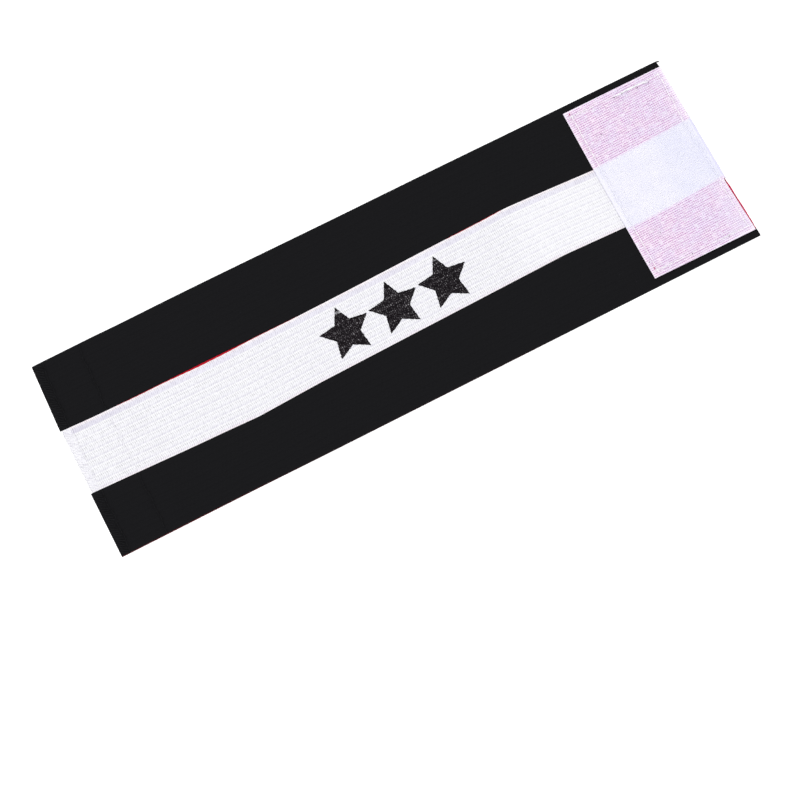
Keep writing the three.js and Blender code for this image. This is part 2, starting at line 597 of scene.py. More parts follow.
def shell(top: np.ndarray, bottom: np.ndarray) -> Mesh:
    """Closes two grids of points into one solid.

    Args:
        top: The upper face's points, in rows along X and columns along Y.
        bottom: The lower face's points, in as many rows and columns.

    Returns:
        The points, and the faces that point outwards.
    """
    rows, columns = top.shape[:2]
    index = np.arange(rows * columns).reshape(rows, columns)
    under = index + rows * columns

    def strip(a: np.ndarray, b: np.ndarray, c: np.ndarray, d: np.ndarray) -> np.ndarray:
        """Quads from four arrays of corners."""
        return np.stack([a.ravel(), b.ravel(), c.ravel(), d.ravel()], axis=1)

    quads = np.concatenate(
        [
            strip(index[:-1, :-1], index[1:, :-1], index[1:, 1:], index[:-1, 1:]),
            strip(under[:-1, :-1], under[:-1, 1:], under[1:, 1:], under[1:, :-1]),
            strip(under[:-1, 0], under[1:, 0], index[1:, 0], index[:-1, 0]),
            strip(under[1:, -1], under[:-1, -1], index[:-1, -1], index[1:, -1]),
            strip(under[0, 1:], under[0, :-1], index[0, :-1], index[0, 1:]),
            strip(under[-1, :-1], under[-1, 1:], index[-1, 1:], index[-1, :-1]),
        ]
    )
    points = np.concatenate([top.reshape(-1, 3), bottom.reshape(-1, 3)])
    return points, [tuple(int(i) for i in quad) for quad in quads]


def tube(path: np.ndarray, radii: np.ndarray, sides: int = 8) -> Mesh:
    """A closed tube along a path that never runs straight up.

    Args:
        path: The points of its middle line, in metres.
        radii: Its radius at each of them, in metres.
        sides: How many sides its section has.

    Returns:
        The points and the faces.
    """
    ahead = np.gradient(path, axis=0)
    ahead /= np.linalg.norm(ahead, axis=1, keepdims=True)
    across = np.cross(np.array([0.0, 0.0, 1.0]), ahead)
    across /= np.linalg.norm(across, axis=1, keepdims=True)
    upward = np.cross(ahead, across)
    turn = np.arange(sides) * math.tau / sides
    ring = across[:, None] * np.cos(turn)[None, :, None] + upward[:, None] * np.sin(turn)[None, :, None]
    points = (path[:, None] + ring * radii[:, None, None]).reshape(-1, 3)
    faces: list[tuple[int, ...]] = []
    for i in range(len(path) - 1):
        for j in range(sides):
            near, far, k = i * sides, (i + 1) * sides, (j + 1) % sides
            faces.append((near + j, near + k, far + k, far + j))
    last = (len(path) - 1) * sides
    faces.append(tuple(reversed(range(sides))))
    faces.append(tuple(range(last, last + sides)))
    return points, faces


def solid(name: str, mesh: Mesh, weave: np.ndarray | None = None) -> bpy.types.Object:
    """Makes an object of points and faces.

    Args:
        name: The object's name.
        mesh: Its points, in metres in the part's frame, and its faces.
        weave: Three measures of the cloth at each point, for the finish to read.

    Returns:
        The object, linked to the scene.
    """
    points, faces = mesh
    data = bpy.data.meshes.new(name)
    data.from_pydata(points.tolist(), [], faces)
    data.shade_smooth()
    if weave is not None:
        data.attributes.new(WEAVE, "FLOAT_VECTOR", "POINT").data.foreach_set(
            "vector", weave.astype(np.float32).ravel()
        )
    data.update()
    made = bpy.data.objects.new(name, data)
    bpy.context.scene.collection.objects.link(made)
    return made


def joined(meshes: Sequence[Mesh]) -> Mesh:
    """Several meshes as one."""
    points: list[np.ndarray] = []
    faces: list[tuple[int, ...]] = []
    start = 0
    for more, sides in meshes:
        points.append(more)
        faces.extend(tuple(i + start for i in face) for face in sides)
        start += len(more)
    return np.concatenate(points), faces


# Geometry trees


class GeometryDesk(Desk):
    """A desk whose tree is a geometry group with named inputs."""

    def __init__(self, name: str) -> None:
        """Makes the group with its geometry input and output.

        Args:
            name: The group's name.
        """
        tree = bpy.data.node_groups.new(name, "GeometryNodeTree")
        super().__init__(tree)
        tree.interface.new_socket("Geometry", in_out="INPUT", socket_type="NodeSocketGeometry")
        tree.interface.new_socket("Geometry", in_out="OUTPUT", socket_type="NodeSocketGeometry")
        self.entry = self.node("NodeGroupInput")

    def number(self, name: str) -> Field:
        """A named input that holds a number."""
        self.tree.interface.new_socket(name, in_out="INPUT", socket_type="NodeSocketFloat")
        return self.out(self.entry, name)

    def whole(self, name: str) -> Field:
        """A named input that holds a whole number."""
        self.tree.interface.new_socket(name, in_out="INPUT", socket_type="NodeSocketInt")
        return self.out(self.entry, name)

    def close(self, instances: Field, material: bpy.types.Material) -> None:
        """Makes the instances real, gives them their finish and ends the tree.

        Args:
            instances: The geometry that holds the instances.
            material: Their finish.
        """
        real = self.node("GeometryNodeRealizeInstances", values={"Geometry": instances})
        shaded = self.node(
            "GeometryNodeSetShadeSmooth", values={"Geometry": self.out(real), "Shade Smooth": True}
        )
        dressed = self.node(
            "GeometryNodeSetMaterial", values={"Geometry": self.out(shaded), "Material": material}
        )
        self.node("NodeGroupOutput", values={"Geometry": self.out(dressed)})

    def arch(self, half: Field, rise: Field, tip: Field, radius: Field, steps: int, sides: int) -> Field:
        """A bent strand from one foot, over an arch, to its tip.

        Args:
            half: Half of the way from its foot to its tip.
            rise: How high the two handles of the arch stand.
            tip: How high its tip lies.
            radius: The strand's radius.
            steps: How many points it has along its length.
            sides: How many sides it has.

        Returns:
            The strand as a mesh.
        """
        curve = self.node(
            "GeometryNodeCurvePrimitiveBezierSegment",
            {"mode": "POSITION"},
            {
                "Resolution": steps,
                "Start": self.join(-half, 0, 0),
                "Start Handle": self.join(-half * 1.2, 0, rise),
                "End Handle": self.join(half * 1.4, 0, rise),
                "End": self.join(half, 0, tip),
            },
        )
        ring = self.node(
            "GeometryNodeCurvePrimitiveCircle",
            {"mode": "RADIUS"},
            {"Resolution": sides, "Radius": radius},
        )
        swept = self.node(
            "GeometryNodeCurveToMesh",
            values={"Curve": self.out(curve), "Profile Curve": self.out(ring), "Fill Caps": True},
        )
        return self.out(swept)


def grown(
    name: str, base: bpy.types.Object, desk: GeometryDesk, inputs: dict[str, Number]
) -> bpy.types.Object:
    """Runs a geometry tree on an object and keeps what it makes as a plain mesh.

    Args:
        name: The new object's name.
        base: The object that the tree starts from, which is removed.
        desk: The finished tree.
        inputs: A value for each of the tree's named inputs.

    Returns:
        The new object.
    """
    modifier = base.modifiers.new(desk.tree.name, "NODES")
    modifier.node_group = desk.tree
    for item in desk.tree.interface.items_tree:
        if item.in_out == "INPUT" and item.name in inputs:
            modifier[item.identifier] = inputs[item.name]
    graph = bpy.context.evaluated_depsgraph_get()
    data = bpy.data.meshes.new_from_object(base.evaluated_get(graph))
    data.name = name
    bpy.data.objects.remove(base)
    made = bpy.data.objects.new(name, data)
    bpy.context.scene.collection.objects.link(made)
    return made


@dataclass(frozen=True)
class StitchRow:
    """A row of stitches along a path, in millimetres."""

    pitch: float = 2.9
    length: float = 2.3
    radius: float = 0.19
    rise: float = 0.5
    turn_deg: float = 0.0
    steps: int = 7
    sides: int = 6

    def sew(self, name: str, paths: Sequence[np.ndarray], material: bpy.types.Material) -> bpy.types.Object:
        """Sews along some paths.

        Args:
            name: The new object's name.
            paths: Points along each path, in metres.
            material: The thread's finish.

        Returns:
            The stitches as one object.
        """
        desk = GeometryDesk(f"{name} stitches")
        pitch, half = desk.number("Stitch pitch"), desk.number("Half stitch")
        radius, rise, turn = desk.number("Thread radius"), desk.number("Rise"), desk.number("Turn")
        curve = desk.node("GeometryNodeMeshToCurve", values={0: desk.out(desk.entry, "Geometry")})
        spaced = desk.node(
            "GeometryNodeResampleCurve",
            {"mode": "LENGTH"},
            {"Curve": desk.out(curve), "Length": pitch},
        )
        ahead, aside, _ = desk.split(desk.out(desk.node("GeometryNodeInputTangent")))
        cosine, sine = desk.math("COSINE", turn), desk.math("SINE", turn)
        heading = desk.join(ahead * cosine - aside * sine, ahead * sine + aside * cosine, 0)
        turned = desk.node(
            "FunctionNodeAlignRotationToVector", {"axis": "X"}, {"Vector": heading}
        )
        stitch = desk.arch(half, rise, -radius, radius, self.steps, self.sides)
        sewn = desk.node(
            "GeometryNodeInstanceOnPoints",
            values={"Points": desk.out(spaced), "Instance": stitch, "Rotation": desk.out(turned)},
        )
        desk.close(desk.out(sewn), material)
        base = self._lines(name, paths)
        inputs = {
            "Stitch pitch": self.pitch * MM,
            "Half stitch": self.length * MM / 2,
            "Thread radius": self.radius * MM,
            "Rise": self.rise * MM,
            "Turn": math.radians(self.turn_deg),
        }
        return grown(name, base, desk, inputs)

    @staticmethod
    def _lines(name: str, paths: Sequence[np.ndarray]) -> bpy.types.Object:
        """The paths as one object of points and edges."""
        data = bpy.data.meshes.new(name + " path")
        points: list[list[float]] = []
        edges: list[tuple[int, int]] = []
        for path in paths:
            start = len(points)
            points.extend(path.tolist())
            edges.extend((start + i, start + i + 1) for i in range(len(path) - 1))
        data.from_pydata(points, edges, [])
        made = bpy.data.objects.new(name + " path", data)
        bpy.context.scene.collection.objects.link(made)
        return made


@dataclass(frozen=True)
class StrandField:
    """The hooks or the loops of a tape, in millimetres."""

    strand: Strand
    pitch: float
    column_pitch: float
    reach: float
    rise: float
    tip: float
    radius: float
    tilt: float
    steps: int = 5
    sides: int = 3
    seed: int = 7

    def plant(
        self, name: str, corners: np.ndarray, material: bpy.types.Material, face: float
    ) -> bpy.types.Object:
        """Plants one strand at each point of a leaning grid.

        Args:
            name: The new object's name.
            corners: Left and right X at the low edge, then at the high one, with both Y, as
                rows of left, right and Y in millimetres.
            material: The strands' finish.
            face: The height of the face that they stand on, in millimetres.

        Returns:
            The strands as one object.
        """
        desk = GeometryDesk(f"{name} strands")
        columns, rows = desk.whole("Columns"), desk.whole("Rows")
        low_left, low_right = desk.number("Low left"), desk.number("Low right")
        high_left, high_right = desk.number("High left"), desk.number("High right")
        low, high = desk.number("Low"), desk.number("High")
        level, reach, rise = desk.number("Level"), desk.number("Half reach"), desk.number("Rise")
        tip, radius = desk.number("Tip"), desk.number("Strand radius")
        tilt, jitter = desk.number("Tilt"), desk.number("Jitter")
        seed = desk.whole("Seed")
        grid = desk.node(
            "GeometryNodeMeshGrid",
            values={"Size X": 1.0, "Size Y": 1.0, "Vertices X": columns, "Vertices Y": rows},
        )
        across, up, _ = desk.split(desk.out(desk.node("GeometryNodeInputPosition")))
        share, height = across + 0.5, up + 0.5
        left = low_left + (high_left - low_left) * height
        right = low_right + (high_right - low_right) * height
        shift = desk.node(
            "FunctionNodeRandomValue",
            {"data_type": "FLOAT_VECTOR"},
            {"Min": (-1.0, -1.0, 0.0), "Max": (1.0, 1.0, 0.0), "Seed": seed},
        )
        shift_x, shift_y, _ = desk.split(desk.out(shift, "Value"))
        spot = desk.join(
            left + (right - left) * share + shift_x * jitter,
            low + (high - low) * height + shift_y * jitter,
            level,
        )
        placed = desk.node(
            "GeometryNodeSetPosition", values={"Geometry": desk.out(grid), "Position": spot}
        )
        lean = desk.node(
            "FunctionNodeRandomValue",
            {"data_type": "FLOAT_VECTOR"},
            {"Min": (-1.0, -1.0, -1.0), "Max": (1.0, 1.0, 1.0), "Seed": seed + 1},
        )
        lean_x, lean_y, lean_z = desk.split(desk.out(lean, "Value"))
        spin = lean_z * (math.pi if self.strand is Strand.LOOP else 0.5)
        strand = desk.arch(reach, rise, tip, radius, self.steps, self.sides)
        planted = desk.node(
            "GeometryNodeInstanceOnPoints",
            values={
                "Points": desk.out(placed),
                "Instance": strand,
                "Rotation": desk.join(lean_x * tilt, lean_y * tilt, spin),
            },
        )
        desk.close(desk.out(planted), material)
        width = corners[:, 1] - corners[:, 0]
        inputs: dict[str, Number] = {
            "Columns": int(round(float(width.mean()) / self.column_pitch)) + 1,
            "Rows": int(round(float(corners[1, 2] - corners[0, 2]) / self.pitch)) + 1,
            "Low left": corners[0, 0] * MM,
            "Low right": corners[0, 1] * MM,
            "Low": corners[0, 2] * MM,
            "High left": corners[1, 0] * MM,
            "High right": corners[1, 1] * MM,
            "High": corners[1, 2] * MM,
            "Level": face * MM,
            "Half reach": self.reach * MM / 2,
            "Rise": self.rise * MM,
            "Tip": self.tip * MM,
            "Strand radius": self.radius * MM,
            "Tilt": self.tilt,
            "Jitter": self.pitch * MM / 12,
            "Seed": self.seed,
        }
        base = solid(name + " base", (np.zeros((0, 3)), []))
        return grown(name, base, desk, inputs)


# Finishes


@dataclass(frozen=True)
class Knit:
    """The sizes of the knitted yarns, in millimetres or in pairs of ribs."""

    tick: float = 0.86
    slope: float = 0.3
    stray: float = 0.7
    dotted_reach: float = 0.2
    lined_reach: float = 0.2

    def ticks(self, desk: ShaderDesk, along: Field, pair: Field) -> Field:
        """The short yarns that cross the ribs, as a wave between 0 and 1."""
        lean = self.slope * desk.wave(pair) + self.stray * desk.noise(1.6 * MM, 1)
        return desk.wave(along / self.tick + lean)


class Finish(ABC):
    """What a piece's surface is made of and how it is coloured."""

    @abstractmethod
    def make(self) -> bpy.types.Material:
        """Builds the material."""


@dataclass(frozen=True)
class BlackElastic(Finish):
    """Black ribbed elastic.

    A trace of red runs along the lower stripe's outer edge, to the left, and up the left end of
    the upper stripe.
    """

    crown: Colour = srgb(21, 21, 23)
    # The valley colour is painted lighter than the crown, as painted light against the shade in the
    # valleys.
    valley: Colour = srgb(23, 23, 25)
    edge: Colour = srgb(114, 20, 27)
    edge_reach: float = 0.3
    red_until: float = 65.0
    trace_until: float = 205.0
    tinted_from: float = 28.0
    roughness: float = 0.85
    specular: float = 0.06
    depth: float = 0.00012
    knit: Knit = Knit()

    def make(self) -> bpy.types.Material:
        """Builds the material."""
        desk = ShaderDesk("black elastic")
        along, pair, edge = desk.split(desk.weave)
        ticks = self.knit.ticks(desk, along, pair)
        deep = desk.near_whole(pair, self.knit.dotted_reach)
        shallow = desk.near_whole(pair + 0.5, self.knit.lined_reach)
        fibres = desk.noise(0.35 * MM, 3)
        # Painted light: valleys and ticks are lightened to even out the shade that falls in them.
        colour = desk.mix(desk.clamp(deep * 0.8 + shallow * 0.5), self.crown, self.valley)
        colour = desk.mix(ticks * 0.3, colour, self.valley)
        rim = desk.above(self.edge_reach - edge, 0.0, self.edge_reach)
        side = desk.above(-edge, -0.06, 0.06)
        left = 0.22 + 0.78 * desk.above(-along, -self.red_until, 70.0)
        lower = desk.above(-pair, -4.0, 1.0) * desk.above(-along, -self.trace_until, 30.0)
        shown = rim * left * lower * (1 - 0.65 * side) * desk.above(fibres, 0.45, 0.2)
        start = 1 - desk.above(along, 0.25, 0.2)
        start = start * desk.above(desk.split(desk.place)[1] / MM, self.tinted_from, 10.0)
        colour = desk.mix(desk.clamp(shown + start * 0.4), colour, self.edge)
        height = ticks * 0.6 + fibres * 0.4
        constants = {"Specular IOR Level": self.specular}
        return desk.finish(colour, self.roughness, height, self.depth, constants)


@dataclass(frozen=True)
class WhiteElastic(Finish):
    """White ribbed elastic, with a flat lavender zone along its upper edge.

    The cross yarns show as fine ticks all over. One valley in two is a row of grey dots between
    white ones, where painted shade darkens the cross yarns, the other one a lavender line of painted
    shade, and both fade where the cloth lies calm beside the hook tape. A painted highlight runs
    along the crests and the outer edges, and the right end is painted with a bluish shade.
    """

    white: Colour = srgb(245, 245, 248)
    haze: Colour = srgb(241, 240, 245)
    gleam: Colour = srgb(252, 252, 252)
    tick: Colour = srgb(190, 189, 194)
    lavender: Colour = srgb(206, 203, 217)
    grey: Colour = srgb(146, 145, 148)
    zone_tone: Colour = srgb(231, 229, 240)
    zone_shade: Colour = srgb(196, 191, 208)
    zone_grey: Colour = srgb(158, 152, 170)
    strip: Colour = srgb(237, 231, 239)
    above_zone: Colour = srgb(232, 225, 228)
    pink: Colour = srgb(212, 140, 170)
    end_painted_shade: Colour = srgb(226, 226, 244)
    zone_start: float = 8.04
    zone_end: float = 8.66
    above_zone_end: float = 8.84
    shaded_until: float = 30.0
    line_at: float = 0.13
    dots_at: float = 0.7
    veil_at: float = 0.36
    gleam_at: float = 0.93
    calm_from: float = 214.0
    end_shade_from: float = 303.9
    edge_reach: float = 0.5
    strip_reach: float = 1.25
    hem: float = 4.6
    roughness: float = 0.9
    specular: float = 0.2
    sheen: float = 0.05
    depth: float = 0.00014
    knit: Knit = Knit()

    def make(self) -> bpy.types.Material:
        """Builds the material."""
        desk = ShaderDesk("white elastic")
        along, pair, edge = desk.split(desk.weave)
        ticks = self.knit.ticks(desk, along, pair)
        zone = desk.above(pair, self.zone_start, 0.1)
        colour = self._ribs(desk, along, pair, ticks, 1 - zone)
        colour = self._zone(desk, along, pair, ticks, zone, colour)
        colour = self._ends(desk, along, pair, edge, ticks, colour)
        height = ticks * 0.6 + desk.noise(0.45 * MM, 3) * 0.5
        constants = {"Specular IOR Level": self.specular, "Sheen Weight": self.sheen}
        return desk.finish(colour, self.roughness, height, self.depth, constants)

    def _ribs(self, desk: ShaderDesk, along: Field, pair: Field, ticks: Field, ribs: Field) -> Field:
        """The colour of the ribs and of the valleys between them, with painted shade in the valleys and a
        painted highlight on the crests.
        """
        clouds = desk.noise(9 * MM, 2)
        specks = desk.above(desk.noise(1.25 * MM, 2), 0.48, 0.2)
        flecks = desk.above(desk.noise(0.8 * MM, 1), 0.5, 0.3)
        calm = desk.above(along, self.calm_from, 24.0)
        # The veil and the lavender line are painted shade on the ribs' flanks and in the shallow valleys;
        # the grey dots are the cross yarns darkened with painted shade in the deep valleys.
        dots = desk.near_whole(pair - self.dots_at, self.knit.dotted_reach) * ribs
        line = desk.near_whole(pair - self.line_at, self.knit.lined_reach) * ribs
        veil = desk.near_whole(pair - self.veil_at, 0.32) * ribs
        # The gleam is a painted highlight along each rib's crest.
        gleam = desk.near_whole(pair - self.gleam_at, 0.13) * ribs
        colour = desk.mix(clouds * 0.6, self.white, self.haze)
        colour = desk.mix(veil * 0.1, colour, self.lavender)
        crossing = ticks * (0.25 + 0.33 * specks + 0.2 * line) * (1 - 0.4 * calm)
        colour = desk.mix(crossing, colour, self.tick)
        colour = desk.mix(line * (0.26 + 0.3 * specks) * (1 - 0.1 * calm), colour, self.lavender)
        shaded = 0.04 + ticks * (0.03 + 0.42 * flecks)
        colour = desk.mix(dots * shaded * (1 - 0.2 * calm), colour, self.grey)
        return desk.mix(gleam * 0.2, colour, self.gleam)

    def _zone(
        self, desk: ShaderDesk, along: Field, pair: Field, ticks: Field, zone: Field, ribs: Field
    ) -> Field:
        """Lays the colour of the flat zone over that of the ribs."""
        streaks = desk.noise(15.0, 2, desk.join(along, pair * 2, 0))
        specks = desk.above(desk.noise(1.1 * MM, 2), 0.48, 0.24)
        left = desk.above(-along, -self.shaded_until, 24.0)
        inner = 1 - desk.above(pair, self.zone_end, 0.12)
        shaded = desk.clamp(desk.above(streaks, 0.5, 0.4) * 0.26 + left * 0.28)
        colour = desk.mix(shaded * (0.4 + 0.6 * inner), self.white, self.zone_shade)
        colour = desk.mix(inner * 0.85, colour, desk.mix(shaded * 0.8, self.zone_tone, self.zone_shade))
        upper = zone * (1 - inner) * desk.above(-pair, -self.above_zone_end, 0.16)
        colour = desk.mix(upper * (0.45 + 0.4 * specks), colour, self.above_zone)
        colour = desk.mix(ticks * (0.1 + 0.34 * specks), colour, self.zone_grey)
        return desk.mix(zone, ribs, colour)

    def _ends(
        self, desk: ShaderDesk, along: Field, pair: Field, edge: Field, ticks: Field, inner: Field
    ) -> Field:
        """Lays the colours of the edges, the hem and the far end over the rest."""
        specks = desk.above(desk.noise(0.9 * MM, 1), 0.45, 0.2)
        low = desk.above(-pair, -2.0, 0.5)
        strip = low * desk.above(-edge, -self.strip_reach, 0.5)
        colour = desk.mix(strip * (0.34 + 0.26 * specks), inner, self.strip)
        colour = desk.mix(strip * ticks * (0.08 + 0.36 * specks), colour, self.zone_grey)
        # Painted highlight: the edges where the white stripe meets the black ones are whitened, against the
        # shade that falls in the joins.
        rim = desk.above(-edge, -self.edge_reach, 0.4)
        colour = desk.mix(rim * (0.8 - 0.4 * ticks), colour, self.gleam)
        patches = desk.above(desk.noise(7 * MM, 2), 0.48, 0.3)
        flushed = rim * ticks * (0.3 + 0.7 * specks) * (0.18 + 0.26 * patches - 0.12 * low)
        colour = desk.mix(flushed, colour, self.pink)
        hem = desk.above(-along, -self.hem, 0.7)
        marks = desk.wave(pair * 2.0 + along * 0.42) * specks
        colour = desk.mix(hem * 0.7, colour, self.white)
        colour = desk.mix(hem * marks * 0.5, colour, self.lavender)
        # Painted shade: the strip at the right cut end is tinted blue-grey for the shadow line along the
        # cut.
        return desk.mix(desk.above(along, self.end_shade_from, 0.6) * 0.6, colour, self.end_painted_shade)


@dataclass(frozen=True)
class TapeTint:
    """Where the band shows through the hook tape: pale over its white stripe, pink elsewhere.

    Heights are in millimetres in the part's frame, at the tape's left and right ends.
    """

    left: float = 101.0
    right: float = 150.0
    low_left: float = -15.8
    low_right: float = -13.5
    high_left: float = 13.7
    high_right: float = 15.2
    bluer_from: float = 130.0

    def mask(self, desk: ShaderDesk, ragged: Field) -> Field:
        """A mask that is 1 over the white stripe and 0 elsewhere."""
        x, y, _ = desk.split(desk.place)
        share = (x / MM - self.left) / (self.right - self.left)
        low = self.low_left + (self.low_right - self.low_left) * share * share
        high = self.high_left + (self.high_right - self.high_left) * share
        at = y / MM + (ragged - 0.5) * 1.2
        return desk.above(at, low, 0.9) * (1 - desk.above(at, high, 0.9))

    def bluer(self, desk: ShaderDesk) -> Field:
        """A mask that rises towards the tape's right end, where the pale zone is bluer."""
        return desk.above(desk.split(desk.place)[0] / MM, self.bluer_from, 13.0)


@dataclass(frozen=True)
class HookTape(Finish):
    """Translucent woven nylon in fine rows, tinted by what lies under it.

    The gaps of its weave are dark dots in rows, and every second row is fainter. Over the white stripe its
    hook-free margins and its right edge carry painted shade; all round, its rim carries a painted
    highlight.
    """

    pink: Colour = srgb(255, 247, 255)
    lilac: Colour = srgb(243, 241, 255)
    mauve: Colour = srgb(188, 104, 184)
    rose: Colour = srgb(216, 104, 146)
    pale: Colour = srgb(245, 244, 253)
    blue: Colour = srgb(239, 239, 252)
    slate: Colour = srgb(218, 216, 240)
    rim: Colour = srgb(248, 245, 253)
    edge_shade: Colour = srgb(212, 210, 240)
    edge_shade_from: float = 140.0
    faint_from: float = 145.0
    column: float = 0.92
    edge_reach: float = 0.3
    margin: float = 2.0
    tint: TapeTint = TapeTint()
    roughness: float = 0.55
    specular: float = 0.2
    depth: float = 0.00012

    def make(self) -> bpy.types.Material:
        """Builds the material."""
        desk = ShaderDesk("hook tape weave")
        along, row, edge = desk.split(desk.weave)
        grain = desk.noise(0.8 * MM, 2)
        clouds = desk.noise(4 * MM, 2)
        sweeps = desk.above(desk.noise(8 * MM, 2), 0.5, 0.3)
        dashes = desk.above(desk.noise(1.0, 2, desk.join(along / 2.4, row / 0.9, 0)), 0.44, 0.24)
        gaps = (1 - desk.wave(row)) * (0.75 + 0.25 * desk.wave(row * 0.5))
        columns = 0.45 + 0.55 * desk.wave(along / self.column)
        dark = gaps * columns * (0.16 + 0.64 * dashes + 0.2 * desk.above(grain, 0.45, 0.3))
        faint = desk.above(desk.split(desk.place)[0] / MM, self.faint_from, 8.0)
        dark = dark * (1 - 0.3 * faint)
        lilac = desk.clamp(desk.above(clouds, 0.5, 0.4) + self.tint.bluer(desk) * 0.3)
        pink = desk.mix(lilac * 0.8, self.pink, self.lilac)
        margin = 1 - desk.above(along, self.margin, 1.6)
        pink = desk.mix(dark * (1.2 - 0.16 * lilac), pink, desk.mix(margin * 0.12, self.mauve, self.rose))
        sweep = desk.clamp(sweeps * 0.45 + self.tint.bluer(desk) * 0.6)
        twill = desk.wave(along * 0.55 + row * 0.45)
        pale = desk.mix(sweep, self.pale, self.blue)
        # Painted shade: the hook-free margins are darkened towards slate, standing in for the shade that
        # the hooks cast on the rest of the ground.
        painted_margin_shade = desk.above(-edge, -1.0, 0.5)
        pale = desk.mix((dark + twill) * 0.07 + painted_margin_shade * 0.32, pale, self.slate)
        # Painted shade: a bluish line along the right edge over the white stripe stands for the shadow line
        # at the band's cut end.
        last = desk.above(desk.split(desk.place)[0] / MM, self.edge_shade_from, 2.0)
        pale = desk.mix(last * desk.near(edge, 0.4, 0.4), pale, self.edge_shade)
        smooth = self.tint.mask(desk, grain)
        colour = desk.mix(smooth, pink, pale)
        # Painted highlight: the tape's rim is lightened.
        rim = desk.above(-edge, -self.edge_reach, 0.2)
        colour = desk.mix(rim * 0.3, colour, self.rim)
        height = desk.clamp(desk.wave(row) * 0.5 + grain * 0.4) * (1 - 0.7 * smooth)
        constants = {"Specular IOR Level": self.specular}
        return desk.finish(colour, self.roughness, height, self.depth, constants)


@dataclass(frozen=True)
class HookNylon(Finish):
    """Clear nylon, as hooks or as thread, that takes its tint from the tape that it stands on."""

    name: str = "hook nylon"
    pink: Colour = srgb(255, 249, 255)
    rose: Colour = srgb(243, 226, 250)
    pale: Colour = srgb(247, 246, 253)
    blue: Colour = srgb(242, 242, 252)
    tint: TapeTint = TapeTint()
    roughness: float = 0.45
    specular: float = 0.25

    def make(self) -> bpy.types.Material:
        """Builds the material."""
        desk = ShaderDesk(self.name)
        grain = desk.noise(0.9 * MM, 1)
        patches = desk.noise(3 * MM, 2)
        share = desk.above(grain * 0.85 + patches * 0.15, 0.52, 0.2)
        pink = desk.mix(share * 0.6, self.pink, self.rose)
        sweeps = desk.above(desk.noise(8 * MM, 2), 0.5, 0.3)
        sweep = desk.clamp(sweeps * 0.45 + self.tint.bluer(desk) * 0.6)
        pale = desk.mix(sweep, self.pale, self.blue)
        colour = desk.mix(self.tint.mask(desk, grain), pink, pale)
        constants = {"Specular IOR Level": self.specular}
        return desk.finish(colour, self.roughness, None, 0.0, constants)


@dataclass(frozen=True)
class LoopNylon(Finish):
    """The soft pile of loop tape, or the woven ground that it stands on."""

    pile: bool
    light: Colour = srgb(241, 241, 245)
    shade: Colour = srgb(214, 213, 224)
    roughness: float = 0.95

    def make(self) -> bpy.types.Material:
        """Builds the material."""
        desk = ShaderDesk("loop pile" if self.pile else "loop tape ground")
        x, y, _ = desk.split(desk.place)
        grain = desk.noise(0.5 * MM, 3)
        clouds = desk.noise(5 * MM, 2)
        woven = desk.wave(x / (0.7 * MM)) * desk.wave(y / (0.7 * MM))
        colour = desk.mix(clouds * 0.5 + woven * 0.3, self.light, self.shade)
        height = woven * 0.6 + grain * 0.4
        constants = {"Specular IOR Level": 0.2, "Sheen Weight": 0.15}
        return desk.finish(colour, self.roughness, height, 0.0001, constants)


@dataclass(frozen=True)
class PrintInk(Finish):
    """Black ink on the ribs, thin in the valleys so that the cloth shows through in specks."""

    ink: Colour = srgb(19, 16, 19)
    worn: Colour = srgb(58, 54, 58)
    speck: Colour = srgb(172, 168, 172)
    dots_at: float = 0.7
    roughness: float = 0.8
    specular: float = 0.03
    depth: float = 0.00008
    knit: Knit = Knit()

    def make(self) -> bpy.types.Material:
        """Builds the material."""
        desk = ShaderDesk("print ink")
        along, pair, edge = desk.split(desk.weave)
        ticks = self.knit.ticks(desk, along, pair)
        fibres = desk.noise(0.5 * MM, 2)
        clouds = desk.noise(4 * MM, 2)
        deep = desk.near_whole(pair - self.dots_at, self.knit.dotted_reach)
        worn = desk.clamp(ticks * desk.above(fibres + clouds * 0.4, 0.7, 0.3) * 0.6 + deep * 0.3)
        colour = desk.mix(worn * 0.8, self.ink, self.worn)
        spots = (0.35 + 0.6 * deep) * ticks * desk.above(fibres + clouds * 0.1, 0.65, 0.08)
        colour = desk.mix(spots, colour, self.speck)
        colour = desk.mix(desk.above(1 - edge, 0.6, 0.4) * 0.8, colour, self.ink)
        height = ticks * 0.5 + fibres * 0.5
        constants = {"Specular IOR Level": self.specular}
        return desk.finish(colour, self.roughness, height, self.depth, constants)


@dataclass(frozen=True)
class Thread(Finish):
    """Spun thread of one colour with a twist."""

    name: str
    colour: Colour
    dark: Colour
    specular: float = 0.2
    roughness: float = 0.7
    depth: float = 0.00005
    twist: float = 0.5

    def make(self) -> bpy.types.Material:
        """Builds the material."""
        desk = ShaderDesk(self.name)
        x, y, z = desk.split(desk.place)
        turns = desk.wave((x + y + 2 * z) / (self.twist * MM))
        grain = desk.noise(0.3 * MM, 2)
        colour = desk.mix(turns * 0.5 + grain * 0.3, self.colour, self.dark)
        constants = {"Specular IOR Level": self.specular}
        return desk.finish(colour, self.roughness, turns, self.depth, constants)


@dataclass(frozen=True)
class Floor(Finish):
    """A plain pale floor that shines back enough to look white."""

    colour: Colour = srgb(252, 252, 252)
    glow: float = 0.5

    def make(self) -> bpy.types.Material:
        """Builds the material."""
        desk = ShaderDesk("pale floor")
        grain = desk.noise(300 * MM, 1)
        colour = desk.mix(grain * 0.1, self.colour, srgb(248, 248, 248))
        constants = {"Specular IOR Level": 0.0, "Emission Strength": self.glow}
        return desk.finish(colour, 0.9, None, 0.0, constants)


# Pieces


